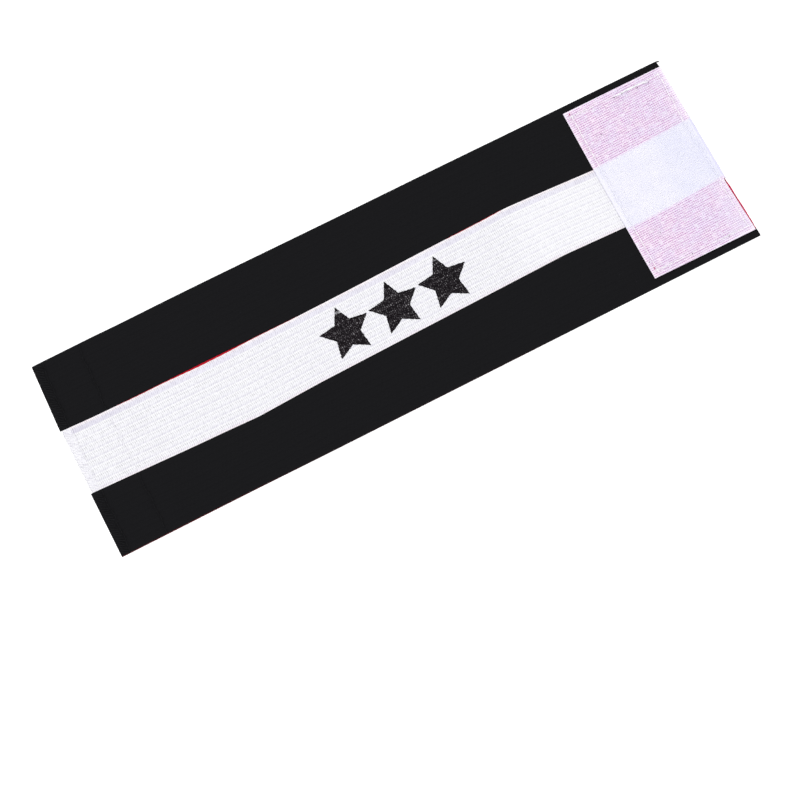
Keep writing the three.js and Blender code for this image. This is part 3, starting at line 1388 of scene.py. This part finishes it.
@dataclass
class Wardrobe:
    """The finishes of the armband, each made once."""

    black: bpy.types.Material = field(default_factory=lambda: BlackElastic().make())
    white: bpy.types.Material = field(default_factory=lambda: WhiteElastic().make())
    tape: bpy.types.Material = field(default_factory=lambda: HookTape().make())
    hooks: bpy.types.Material = field(default_factory=lambda: HookNylon().make())
    ground: bpy.types.Material = field(default_factory=lambda: LoopNylon(pile=False).make())
    pile: bpy.types.Material = field(default_factory=lambda: LoopNylon(pile=True).make())
    ink: bpy.types.Material = field(default_factory=lambda: PrintInk().make())
    white_thread: bpy.types.Material = field(
        default_factory=lambda: Thread("white thread", srgb(250, 249, 252), srgb(241, 239, 247)).make()
    )
    tape_thread: bpy.types.Material = field(
        default_factory=lambda: HookNylon("tape thread", srgb(254, 251, 254), srgb(250, 242, 252)).make()
    )
    # The black thread is painted lighter than the black cloth, as painted light that offsets the shade in
    # the seam grooves.
    black_thread: bpy.types.Material = field(
        default_factory=lambda: Thread("black thread", srgb(31, 31, 33), srgb(28, 28, 30), 0.05).make()
    )
    red_yarn: bpy.types.Material = field(
        default_factory=lambda: Thread("red yarn", srgb(205, 14, 38), srgb(150, 10, 34), 0.1).make()
    )
    crimson_yarn: bpy.types.Material = field(
        default_factory=lambda: Thread("crimson yarn", srgb(200, 8, 76), srgb(160, 6, 60), 0.1).make()
    )
    # Painted shadow: the finish of the pale blue tube along the white stripe's cut end.
    end_shadow_paint: bpy.types.Material = field(
        default_factory=lambda: Thread("pale blue painted shadow", srgb(226, 225, 243), srgb(212, 211, 238)).make()
    )
    mauve_thread: bpy.types.Material = field(
        default_factory=lambda: Thread("mauve thread", srgb(84, 52, 80), srgb(58, 36, 56), 0.1).make()
    )


def settle(
    piece: bpy.types.Object,
    material: bpy.types.Material | None = None,
) -> bpy.types.Object:
    """Dresses a piece and lets it ride with the band.

    Args:
        piece: The finished piece.
        material: Its finish, unless its mesh brings one.

    Returns:
        The piece.
    """
    if material is not None:
        piece.data.materials.clear()
        piece.data.materials.append(material)
    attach(piece, BODY)
    LOG.info("%s: %d faces", piece.name, len(piece.data.polygons))
    return piece


@dataclass
class Elastic:
    """The three stripes of ribbed elastic, with their seams and the oversewing of their left end."""

    form: BandForm
    seams: Seams
    wardrobe: Wardrobe
    station: float = 2.2
    samples_per_pair: int = 12
    edge_radius: float = 0.7
    rim_steps: tuple[float, ...] = (0.04, 0.12, 0.22, 0.36, 0.52)
    least_rim: float = 0.14
    white_inset: float = 0.82
    black_inset: float = 0.2
    hem_crinkle: float = 0.1
    seam_stations: tuple[float, ...] = (-1.1, -0.7, -0.4, -0.2, 0.0, 0.2, 0.4, 0.7, 1.1)
    seam_ends: float = 1.5
    drawn_reach: float = 3.0
    stitches: StitchRow = StitchRow(pitch=2.9, length=2.3, radius=0.15, rise=0.36)
    overcast: StitchRow = StitchRow(pitch=1.13, length=3.6, radius=0.19, rise=0.3, turn_deg=62.0)
    overcast_at: float = 2.75
    overcast_ends: float = 1.1

    def build(self) -> dict[Stripe, bpy.types.Object]:
        """Builds the three stripes.

        Returns:
            The stripes' objects.
        """
        made = {}
        for stripe in Stripe:
            white = stripe is Stripe.CENTRE
            piece = self._stripe(stripe)
            settle(
                piece,
                self.wardrobe.white if white else self.wardrobe.black,
            )
            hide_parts(stripe.value)
            made[stripe] = piece
        return made

    def _stations(self, start: float) -> np.ndarray:
        """The distances from the left end at which a stripe has a row of points."""
        even = np.linspace(start, self.form.length, round(self.form.length / self.station))
        sewn = [s + d for s in (self.seams.first, self.seams.second) for d in self.seam_stations]
        apart = [x for x in even if min(abs(x - s) for s in sewn) > 0.25 or x == start]
        return np.array(sorted([*apart, *sewn]))

    def _shares(self, stripe: Stripe, width: float, pairs: int) -> np.ndarray:
        """The shares of a stripe's width at which it has a column of points."""
        shares = list(np.linspace(0, 1, pairs * self.samples_per_pair + 1))
        rim = [step * self.edge_radius / 0.52 / width for step in self.rim_steps]
        if stripe is Stripe.LOWER:
            shares += rim
        if stripe is Stripe.UPPER:
            shares += [1 - share for share in rim]
        return np.unique(np.round(shares, 6))

    def _stripe(self, stripe: Stripe) -> bpy.types.Object:
        """One stripe as a closed shell with ribs on both faces.

        Args:
            stripe: Which stripe.

        Returns:
            Its object, with the distance along, the pair of ribs and the distance from the
            outer edge at each point.
        """
        form = self.form
        start = self.white_inset if stripe is Stripe.CENTRE else self.black_inset
        x = self._stations(start)[:, None]
        low, high = form.edges(stripe, x)
        width = float(high[0, 0] - low[0, 0])
        pairs = max(1, round(width / form.pair_pitch))
        share = self._shares(stripe, width, pairs)[None, :]
        y = low + (high - low) * share
        pair = np.broadcast_to(share * pairs, y.shape)
        if stripe is Stripe.CENTRE:
            dip = form.valley(pair + form.white_phase)
            outer, full = np.minimum(y - low, high - y), np.ones(y.shape)
            dip = dip * np.where((pair > pairs - 0.88) & (pair < pairs - 0.12), 0.12, 1.0)
        else:
            outer = high - y if stripe is Stripe.UPPER else y - low
            curve = np.clip(outer / self.edge_radius, 0, 1)
            full = np.maximum(np.sqrt(1 - (1 - curve) ** 2), self.least_rim)
            dip = form.valley(pair) * form.black_valleys
        hem = np.exp(-((x / self.seams.first) ** 4))
        crinkle = self.hem_crinkle * hem * np.sin(x * 3.1 + pair * 5.2) * np.sin(x * 1.3 - pair * 3.7)
        wander = 0.05 * np.sin(x / 17 + pair * 0.9) * np.sin(x / 5.3 + pair * 2.1)
        middle = form.underside(x, y) + form.thickness / 2
        half = form.thickness / 2 * full
        relief = (dip * (1 - 0.45 * hem) + self.seams.pinch(x, y)) * full
        top = middle + half - relief + (crinkle + wander) * full
        bottom = middle - half + dip * 0.8 * full
        end = self._frayed(stripe, x, y, pair)
        points_top = form.place(x + end, y, top)
        points_bottom = form.place(x + end, y, np.maximum(bottom, 0.0))
        weave = np.stack([np.broadcast_to(x, y.shape), pair, outer], axis=-1).reshape(-1, 3)
        mesh = shell(points_top, points_bottom)
        return solid(stripe.value.replace("stripe", "elastic"), mesh, np.concatenate([weave, weave]))

    def _frayed(self, stripe: Stripe, x: np.ndarray, y: np.ndarray, pair: np.ndarray) -> np.ndarray:
        """How far a stripe's two ends lie to the right of an even cut."""
        near_end = np.exp(-(((self.form.length - x) / self.drawn_reach) ** 2))
        if stripe is Stripe.LOWER:
            return -self.form.drawn_back(y) * near_end
        if stripe is Stripe.UPPER:
            return -self.form.upper_drawn_back(y) * near_end
        wave = np.sin(pair * 9.1) * np.sin(pair * 3.3 + 1.0)
        return 0.22 * wave * np.exp(-(((x - self.white_inset) / 1.5) ** 2))

    def sew(self) -> dict[Stripe, list[bpy.types.Object]]:
        """Sews the band to the loop tape and oversews its end, in each stripe's own colour."""
        made = {}
        for stripe in Stripe:
            white = stripe is Stripe.CENTRE
            thread = self.wardrobe.white_thread if white else self.wardrobe.black_thread
            seams = [
                self._across(stripe, seam, self.seam_ends, self.seams.depth)
                for seam in (self.seams.first, self.seams.second)
            ]
            row = self.stitches.sew(stripe.value.replace("stripe", "seams"), seams, thread)
            hem = [self._across(stripe, self.overcast_at, self.overcast_ends, 0.12)]
            end = self.overcast.sew(stripe.value.replace("stripe", "oversewing"), hem, thread)
            made[stripe] = [settle(row), settle(end)]
        return made

    def _across(self, stripe: Stripe, at: float, ends: float, depth: float) -> np.ndarray:
        """A straight path across a stripe.

        Args:
            stripe: Which stripe.
            at: Its distance from the left end.
            ends: How far it stays from the stripe's two edges.
            depth: How far it lies under the stripe's face.

        Returns:
            The path's points.
        """
        low, high = self.form.edges(stripe, np.array([at]))
        y = np.arange(low[0] + ends, high[0] - ends, 0.6)
        x = at + self.seams.sway(y)
        z = self.form.underside(x, y) + self.form.thickness - depth
        return self.form.place(x, y, z)


@dataclass
class StrayYarns:
    """The red yarns in the upper join, and what lies along the band's right end.

    Each red run is a row of distances from the left end, each with the yarn's radius there. The pale blue
    tube along the white stripe's cut end is painted shadow, not a yarn.
    """

    form: BandForm
    wardrobe: Wardrobe
    runs: tuple[tuple[tuple[float, float], ...], ...] = (
        (
            (27.0, 0.04),
            (37.0, 0.1),
            (46.0, 0.1),
            (51.0, 0.14),
            (55.0, 0.27),
            (58.0, 0.3),
            (67.0, 0.42),
            (76.0, 0.38),
            (81.0, 0.31),
            (84.5, 0.21),
            (89.0, 0.1),
            (95.0, 0.08),
            (103.0, 0.08),
            (110.0, 0.06),
            (115.0, 0.02),
        ),
        (
            (186.0, 0.04),
            (192.5, 0.09),
            (197.0, 0.08),
            (201.0, 0.06),
            (205.5, 0.13),
            (210.0, 0.09),
            (214.5, 0.03),
        ),
    )
    step: float = 1.5
    red_out: float = 0.2
    red_radius: float = 0.38
    red_end: tuple[float, float] = (-40.2, -14.2)
    pale_out: float = -0.04
    pale_end: tuple[float, float] = (-14.4, 18.4)
    pale_radius: float = 0.26
    end_taper: float = 4.0
    tail: tuple[tuple[float, float, float], ...] = (
        (303.7, 43.3, 1.1),
        (304.4, 43.45, 1.4),
        (305.0, 43.4, 1.45),
        (305.5, 43.2, 1.35),
        (305.9, 42.95, 1.1),
    )
    tail_radii: tuple[float, ...] = (0.18, 0.28, 0.3, 0.28, 0.2)

    def build(self) -> dict[Stripe, list[bpy.types.Object]]:
        """Builds the yarns.

        Returns:
            Their objects, by the stripe that each one lies on.
        """
        reds = solid("red_yarns", joined([self._run(np.array(run)) for run in self.runs]))
        crimson = self._end(self.red_end, self.red_out, self.red_radius, True)
        # A pale blue tube of painted shadow along the white stripe's cut end.
        pale = self._end(self.pale_end, self.pale_out, self.pale_radius, False)
        path = self.form.place(*(np.array(c) for c in zip(*self.tail)))
        tail = solid("corner_tail", tube(path, np.array(self.tail_radii) * MM))
        dress = self.wardrobe
        return {
            Stripe.UPPER: [settle(reds, dress.red_yarn), settle(tail, dress.black_thread)],
            Stripe.CENTRE: [settle(solid("pale_end_painted_shadow", pale), dress.end_shadow_paint)],
            Stripe.LOWER: [settle(solid("crimson_end_yarn", crimson), dress.crimson_yarn)],
        }

    def _run(self, run: np.ndarray) -> Mesh:
        """One yarn in the join between the white stripe and the upper black one."""
        x = np.arange(run[0, 0], run[-1, 0], self.step)
        radius = np.interp(x, run[:, 0], run[:, 1])
        y = self.form.white_edge(x, 1) + 0.04 + 0.05 * np.sin(x * 1.7)
        z = self.form.underside(x, y) + self.form.thickness - radius * 0.4
        return tube(self.form.place(x, y, z), radius * MM)

    def _end(self, span: tuple[float, float], out: float, radius: float, drawn: bool) -> Mesh:
        """A yarn along the cut end at the right; over the white stripe it is a pale blue tube of painted
        shadow.

        Args:
            span: The heights across the band where it starts and ends.
            out: How far it stands out past the cut.
            radius: Its radius.
            drawn: Whether it follows the lower stripe's end, which is drawn back.

        Returns:
            The yarn.
        """
        y = np.arange(span[0], span[1], 0.7)
        x = self.form.length + out - radius / 2 - (self.form.drawn_back(y) if drawn else 0.0)
        z = np.full_like(y, self.form.thickness + 0.25 * radius)
        taper = np.clip(np.minimum(y - span[0], span[1] - y) / self.end_taper, 0.35, 1)
        swell = 0.92 + 0.16 * np.sin(y * 0.62 + 1.0)
        return tube(self.form.place(x, y, z), radius * MM * taper * swell)


@dataclass
class HookPatch:
    """The patch of hook tape on the band's face, in millimetres.

    Its right side stops just short of the band's end, and a little more on the lower stripe.
    """

    form: BandForm
    wardrobe: Wardrobe
    length: float = 48.0
    low: float = -40.36
    high: float = 41.06
    corner_draw: float = 0.22
    stops_at: tuple[float, ...] = (-38.4, -16.8, -14.5, -14.2, 18.2, 18.6)
    stops: tuple[float, ...] = (-0.4, -1.12, -1.08, -0.3, -0.3, -0.06)
    inner_slant_deg: float = 2.9
    turn_deg: float = -0.28
    seat: float = 1.44
    ground: float = 0.62
    row: float = 0.95
    row_relief: float = 0.05
    samples_per_row: int = 4
    stations: int = 58
    seam_margin: float = 2.8
    seam_groove: float = 0.45
    seam_depth: float = 0.04
    rim: float = 0.5
    strand_sides: float = 1.25
    row_lean: float = 0.03
    strand_ends: float = 0.95
    strands: StrandField = StrandField(Strand.HOOK, 0.95, 0.92, 0.5, 0.9, 0.36, 0.12, 0.12)
    stitches: StitchRow = StitchRow(pitch=3.0, length=2.6, radius=0.19, rise=0.66)
    seam_at: tuple[float, ...] = (-36.0, -14.0, 17.0, 37.0)
    seam_in: tuple[float, ...] = (-0.6, -0.4, 0.6, -0.5)
    streaks: tuple[tuple[tuple[float, float], ...], ...] = (
        ((123.2, 38.3), (126.5, 37.9), (130.0, 38.2), (133.0, 38.2), (137.0, 37.8), (140.6, 37.4)),
        ((128.5, 38.3), (131.5, 38.5), (134.5, 38.1), (138.0, 37.9), (140.0, 37.5)),
        ((130.0, 38.0), (133.0, 38.0), (136.0, 38.0), (139.0, 37.6)),
    )
    streak_radius: float = 0.22
    marks: tuple[tuple[float, float], ...] = (
        (124.1, 37.6),
        (128.0, 37.7),
        (134.9, 36.9),
        (140.5, 36.9),
        (106.2, -32.8),
        (112.2, 25.9),
        (116.2, -23.5),
        (146.2, 31.3),
        (124.6, -37.7),
        (142.2, -38.0),
    )
    red_marks: tuple[tuple[float, float], ...] = ((103.7, 39.65), (107.1, -36.1))
    mark_radius: float = 0.19
    red_mark_radius: float = 0.31

    @property
    def face(self) -> float:
        """The height of its woven ground above the floor."""
        return self.seat + self.ground

    def side_x(self, y: np.ndarray, inset: float) -> tuple[np.ndarray, np.ndarray]:
        """X of its two slanted sides, moved in.

        Args:
            y: Heights across the band.
            inset: How far they are moved towards the patch's middle.

        Returns:
            X of the left side and of the right side, in millimetres in the part's frame.
        """
        end = self.form.length / 2 + self.form.centring
        left = end - self.length - math.tan(math.radians(self.inner_slant_deg)) * y
        left = left + self.corner_draw * np.abs(y / self.high) ** 3
        stop = np.interp(y, self.stops_at, self.stops)
        return left + inset, end + self.form.right_lean(y) + stop - inset

    def turned(self, points: np.ndarray) -> np.ndarray:
        """Points in millimetres, turned about the patch's middle and given in metres."""
        middle = self.form.length / 2 - self.length / 2
        points = np.array(points, float)
        points[..., 1] += math.tan(math.radians(self.turn_deg)) * (points[..., 0] - middle)
        return points * MM

    def build(self) -> bpy.types.Object:
        """Builds the woven ground of the tape.

        Returns:
            Its object, with the distance from the first gap beside the hooks, the row and the
            distance from the edge at each point.
        """
        rows = round((self.high - self.low) / self.row)
        y = np.linspace(self.low, self.high, rows * self.samples_per_row + 1)[None, :]
        share = np.linspace(0, 1, self.stations)[:, None]
        left, right = self.side_x(y, 0.0)
        x = left + (right - left) * share
        y = np.broadcast_to(y, x.shape)
        edge = np.minimum(np.minimum(x - left, right - x), np.minimum(y - self.low, self.high - y))
        seam = np.exp(-(((edge - self.seam_margin) / self.seam_groove) ** 2))
        rim = np.clip(edge / self.rim, 0, 1)
        row = (y - self.low - self.strand_ends - self._rise(x)) / self.row
        weave = self.row_relief * np.cos(row * math.tau) * rim
        pucker = 0.07 * np.sin(x * 0.55 + 0.3 * y) * np.sin(y * 0.21) * np.exp(-edge / 6)
        crown = self.ground * (0.55 + 0.45 * np.sqrt(1 - (1 - rim) ** 2))
        top = self.seat + crown + weave + pucker - self.seam_depth * seam
        grids = [self.turned(np.stack([x, y, z], axis=-1)) for z in (top, np.full_like(top, self.seat))]
        first = x - left - self.strand_sides - self.strands.column_pitch / 2
        measures = np.stack([first, row, edge], axis=-1).reshape(-1, 3)
        piece = solid("hook_tape", shell(*grids), np.concatenate([measures, measures]))
        settle(piece, self.wardrobe.tape)
        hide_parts("hook_patch")
        return piece

    def _rise(self, x: np.ndarray) -> np.ndarray:
        """How far the rows of the weave, which run askew, have risen at some X."""
        return self.row_lean * (x - self.form.length / 2 + self.length / 2)

    def plant(self) -> bpy.types.Object:
        """Plants the hooks between the two plain selvedges."""
        rows = round((self.high - self.low) / self.row) - 2
        first = self.low + self.strand_ends
        ends = np.array([first, first + rows * self.row])
        left, right = self.side_x(ends, self.strand_sides)
        corners = np.stack([left, right, ends], axis=1)
        hooks = self.strands.plant("hook_field", corners, self.wardrobe.hooks, self.face)
        points = np.array([vertex.co for vertex in hooks.data.vertices]) / MM
        points[:, 1] += self._rise(points[:, 0])
        hooks.data.vertices.foreach_set("co", self.turned(points).ravel())
        return settle(hooks)

    def sew(self) -> list[bpy.types.Object]:
        """Sews the tape down inside its four edges, and adds the loose thread and needle marks."""
        low, high = self.low + self.seam_margin, self.high - self.seam_margin
        z = self.face + 0.02
        y = np.arange(low, high, 0.8)
        left, right = self.side_x(y, self.seam_margin)
        right = right - np.interp(y, self.seam_at, self.seam_in) + 0.2 * np.sin(y * 0.8)
        paths = [np.stack([side, y, np.full_like(y, z)], axis=1) for side in (left, right)]
        for level in (low, high):
            start, end = (float(side) for side in self.side_x(np.array(level), self.seam_margin))
            x = np.arange(start, end, 0.8)
            paths.append(np.stack([x, np.full_like(x, level), np.full_like(x, z)], axis=1))
        paths = [self.turned(path) for path in paths]
        seam = self.stitches.sew("hook_tape_seam", paths, self.wardrobe.tape_thread)
        loose = solid("loose_thread", joined([self._streak(points) for points in self.streaks]))
        return [
            settle(seam),
            settle(loose, self.wardrobe.white_thread),
            settle(self._knots("needle_marks", self.marks, self.mark_radius), self.wardrobe.mauve_thread),
            settle(
                self._knots("red_needle_marks", self.red_marks, self.red_mark_radius),
                self.wardrobe.crimson_yarn,
            ),
        ]

    def _streak(self, points: Sequence[tuple[float, float]]) -> Mesh:
        """One strand of the loose thread, which lies on the tips of the hooks."""
        given = np.array(points)
        share, knots = np.linspace(0, 1, 40), np.linspace(0, 1, len(given))
        x, y = (np.interp(share, knots, given[:, i]) for i in (0, 1))
        z = self.face + 0.72 + 0.1 * np.sin(share * 19)
        radii = self.streak_radius * MM * np.clip(np.minimum(share, 1 - share) * 12, 0.3, 1)
        return tube(np.stack([x, y, z], axis=1) * MM, radii)

    def _knots(self, name: str, spots: Sequence[tuple[float, float]], radius: float) -> bpy.types.Object:
        """Small knots of thread where a needle went through."""
        meshes = []
        reach = np.linspace(-1, 1, 5)
        for x, y in spots:
            z = np.full_like(reach, self.face + 0.32 + radius)
            path = np.stack([x + reach * 0.24, y + reach * 0.1, z], axis=1)
            radii = radius * MM * np.sqrt(np.clip(1.02 - reach**2, 0.05, 1))
            meshes.append(tube(path * MM, radii))
        return solid(name, joined(meshes))


@dataclass
class LoopPatch:
    """The patch of loop tape under the band's left end, in millimetres."""

    form: BandForm
    wardrobe: Wardrobe
    length: float = 25.0
    side_margin: float = 3.3
    end_inset: float = 1.2
    top: float = 1.82
    ground: float = 0.75
    seam_margin: float = 3.7
    seam_depth: float = 0.2
    columns: int = 44
    rows: int = 130
    strand_inset: float = 0.5
    strands: StrandField = StrandField(Strand.LOOP, 0.92, 0.92, 0.9, -1.25, 0.0, 0.06, 0.3, seed=23)

    def build(self) -> bpy.types.Object:
        """Builds the woven ground of the tape.

        Returns:
            Its object.
        """
        half = self.form.left_width / 2 - self.side_margin
        y = np.linspace(-half, half, self.rows)[None, :]
        share = np.linspace(0, 1, self.columns)[:, None]
        x = self.left_x(y) + share * self.length
        edge = np.minimum(
            np.minimum(share, 1 - share) * self.length, np.minimum(y + half, half - y)
        )
        seam = np.exp(-(((edge - self.seam_margin) / 0.5) ** 2))
        bottom = self.top - self.ground + self.seam_depth * seam
        bottom = bottom + 0.04 * np.cos(y / 0.7 * math.tau)
        flat = np.full_like(bottom, self.top)
        grids = [np.stack(np.broadcast_arrays(x, y, z), axis=-1) * MM for z in (flat, bottom)]
        piece = solid("loop_tape", shell(*grids))
        settle(piece, self.wardrobe.ground)
        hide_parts("loop_patch")
        return piece

    def left_x(self, y: np.ndarray) -> np.ndarray:
        """X of its left edge in the part's frame."""
        return self.end_inset - self.form.length / 2 + self.form.centring + self.form.left_lean(y)

    def plant(self) -> bpy.types.Object:
        """Plants the loops of the pile, which hang down to the floor."""
        half = self.form.left_width / 2 - self.side_margin - self.strand_inset
        ends = np.array([-half, half])
        left = self.left_x(ends) + self.strand_inset
        right = left + self.length - 2 * self.strand_inset
        corners = np.stack([left, right, ends], axis=1)
        pile = self.strands.plant("loop_pile", corners, self.wardrobe.pile, self.top - self.ground)
        return settle(pile)


@dataclass
class StarPrint:
    """Three plain stars printed in black on the white stripe, in millimetres."""

    form: BandForm
    wardrobe: Wardrobe
    count: int = 3
    radius: float = 12.0
    notch: float = 0.5
    spacing: float = 23.9
    middle: float = 153.6
    drop: float = 0.9
    lift: float = 0.05
    sink: float = 0.04
    grid: float = 0.3
    ragged: float = 0.09
    seed: int = 5

    def build(self) -> bpy.types.Object:
        """Builds the three stars as thin films that follow the ribs.

        Returns:
            One object for all the print.
        """
        chance = np.random.default_rng(self.seed)
        meshes, weaves = [], []
        for i in range(self.count):
            x = self.middle + (i - (self.count - 1) / 2) * self.spacing
            low, high = self.form.edges(Stripe.CENTRE, np.array([x]))
            mesh, weave = self._star(x, float(low[0] + high[0]) / 2 - self.drop, chance)
            meshes.append(mesh)
            weaves.append(weave)
        piece = solid("star_print", joined(meshes), np.concatenate(weaves))
        return settle(piece, self.wardrobe.ink)

    def _outline(self, chance: np.random.Generator) -> np.ndarray:
        """A star's outline with slightly ragged sides."""
        corners = []
        for i in range(10):
            reach = self.radius if i % 2 == 0 else self.radius * self.notch
            turn = math.pi / 2 + i * math.tau / 10
            corners.append((reach * math.cos(turn), reach * math.sin(turn)))
        points = []
        for (ax, ay), (bx, by) in zip(corners, corners[1:] + corners[:1]):
            steps = max(2, round(math.hypot(bx - ax, by - ay) / 0.33))
            for t in np.arange(steps) / steps:
                points.append((ax + (bx - ax) * t, ay + (by - ay) * t))
        outline = np.array(points)
        return outline + chance.normal(0, self.ragged, outline.shape)

    def _star(self, x: float, y: float, chance: np.random.Generator) -> tuple[Mesh, np.ndarray]:
        """One star about a middle.

        Args:
            x: The middle's distance from the band's left end.
            y: The middle's height across the band.
            chance: What the ragged outline draws from.

        Returns:
            The star's mesh, and the cloth's measures at its points.
        """
        outline = self._outline(chance)
        ticks = np.arange(-self.radius, self.radius, self.grid)
        gx, gy = np.meshgrid(ticks, ticks)
        inner = [p for p in zip(gx.ravel(), gy.ravel()) if self._inside(p, outline)]
        count = len(outline)
        points = [Vector(p) for p in [*outline.tolist(), *inner]]
        ring = [(i, (i + 1) % count) for i in range(count)]
        flat, _, faces, *_ = delaunay_2d_cdt(points, ring, [list(range(count))], 1, 1e-6)
        spots = np.array([tuple(p) for p in flat])
        bx, by = x + spots[:, 0], y + spots[:, 1]
        z = self.form.white_top(bx, by)
        top = self.form.place(bx, by, z + self.lift)
        bottom = self.form.place(bx, by, z - self.sink)
        total = len(spots)
        upper = [tuple(face) for face in faces]
        lower = [tuple(i + total for i in reversed(face)) for face in faces]
        rim = self._rim(upper)
        walls = [(b, a, a + total, b + total) for a, b in rim]
        depth = np.min(np.linalg.norm(spots[:, None] - outline[None], axis=2), axis=1)
        weave = np.stack([bx, self.form.white_pair(bx, by), depth], axis=1)
        mesh = (np.concatenate([top, bottom]), [*upper, *lower, *walls])
        return mesh, np.concatenate([weave, weave])

    def _inside(self, point: tuple[float, float], outline: np.ndarray) -> bool:
        """Whether a point lies inside the outline and clear of it."""
        x, y = point
        ax, ay = outline.T
        bx, by = np.roll(ax, -1), np.roll(ay, -1)
        crossing = (ay > y) != (by > y)
        at = ax + (y - ay) / np.where(by == ay, 1e-9, by - ay) * (bx - ax)
        inside = np.count_nonzero(crossing & (x < at)) % 2 == 1
        return inside and float(np.min(np.hypot(ax - x, ay - y))) > self.grid / 2

    @staticmethod
    def _rim(faces: Sequence[tuple[int, ...]]) -> list[tuple[int, int]]:
        """The edges that only one face has, in that face's order."""
        edges = {(a, b) for face in faces for a, b in zip(face, face[1:] + face[:1])}
        return [(a, b) for a, b in edges if (b, a) not in edges]


# The studio


@dataclass(frozen=True)
class Studio:
    """The floor, the light and the camera, which looks straight down."""

    lens: float = 120.0
    sensor: float = 36.0
    view_width: float = 0.3459
    aim: tuple[float, float] = (-0.0167, -0.03821)
    face: float = 0.0014
    turn_deg: float = -26.4
    floor_size: float = 6.0
    floor_drop: float = 0.00005
    sky: float = 1.12
    key_power: float = 3.2
    key_size: float = 1.4
    key_place: tuple[float, float, float] = (-0.9, 0.9, 1.3)

    def camera(self) -> None:
        """Makes the camera and hands it to the scene."""
        data = bpy.data.cameras.new("camera")
        data.lens = self.lens
        data.sensor_width = self.sensor
        camera = bpy.data.objects.new("camera", data)
        distance = self.view_width / self.sensor * self.lens
        camera.location = (*self.aim, self.face + distance)
        camera.rotation_euler = (0, 0, math.radians(self.turn_deg))
        bpy.context.scene.collection.objects.link(camera)
        bpy.context.scene.camera = camera

    def floor(self) -> None:
        """Makes the floor, which isn't part of the object."""
        half, level = self.floor_size / 2, -self.floor_drop
        corners = [(-half, -half, level), (half, -half, level), (half, half, level), (-half, half, level)]
        piece = solid("floor", (np.array(corners), [(0, 1, 2, 3)]))
        piece.data.materials.append(Floor().make())

    def light(self) -> None:
        """Makes an even sky and one large soft lamp, and asks for plain colours."""
        world = bpy.data.worlds.new("studio")
        world.use_nodes = True
        background = world.node_tree.nodes["Background"]
        background.inputs["Color"].default_value = (1.0, 1.0, 1.0, 1.0)
        background.inputs["Strength"].default_value = self.sky
        bpy.context.scene.world = world
        bpy.context.scene.view_settings.view_transform = "Standard"
        data = bpy.data.lights.new("key", "AREA")
        data.energy = self.key_power
        data.size = self.key_size
        lamp = bpy.data.objects.new("key", data)
        lamp.location = self.key_place
        lamp.rotation_euler = (-Vector(self.key_place)).to_track_quat("-Z", "Y").to_euler()
        lamp.visible_camera = False
        bpy.context.scene.collection.objects.link(lamp)


@dataclass
class Armband:
    """The whole armband, built in the order in which its pieces lie on each other."""

    form: BandForm = field(default_factory=BandForm)
    seams: Seams = field(default_factory=Seams)
    wardrobe: Wardrobe = field(default_factory=Wardrobe)

    def build(self) -> None:
        """Builds every piece."""
        elastic = Elastic(self.form, self.seams, self.wardrobe)
        stripes = elastic.build()
        seam_rows = elastic.sew()
        yarns = StrayYarns(self.form, self.wardrobe).build()
        print_piece = StarPrint(self.form, self.wardrobe).build()
        hook = HookPatch(self.form, self.wardrobe)
        tape, hooks, sewn = hook.build(), hook.plant(), hook.sew()
        loop = LoopPatch(self.form, self.wardrobe)
        ground, pile = loop.build(), loop.plant()
        on_it = {stripe: [*seam_rows[stripe], *yarns[stripe]] for stripe in Stripe}
        on_it[Stripe.CENTRE].append(print_piece)
        self._declare(stripes)
        (hook.high - hook.low) * MM
        width = self.form.left_width - 2 * loop.side_margin
        width * MM

    def _declare(
        self,
        stripes: dict[Stripe, bpy.types.Object],
    ) -> None:
        """Reads the edges of each stripe at its two ends, and keeps nothing of them."""
        for stripe, piece in stripes.items():
            low, high = self.form.edges(stripe, np.array([0.0, self.form.length]))


def main() -> None:
    """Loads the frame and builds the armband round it."""
    logging.basicConfig(level=logging.INFO, format="%(name)s: %(message)s")
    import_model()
    studio = Studio()
    studio.camera()
    studio.floor()
    studio.light()
    Armband().build()
    bpy.context.view_layer.update()


if __name__ == "__main__":
    main()
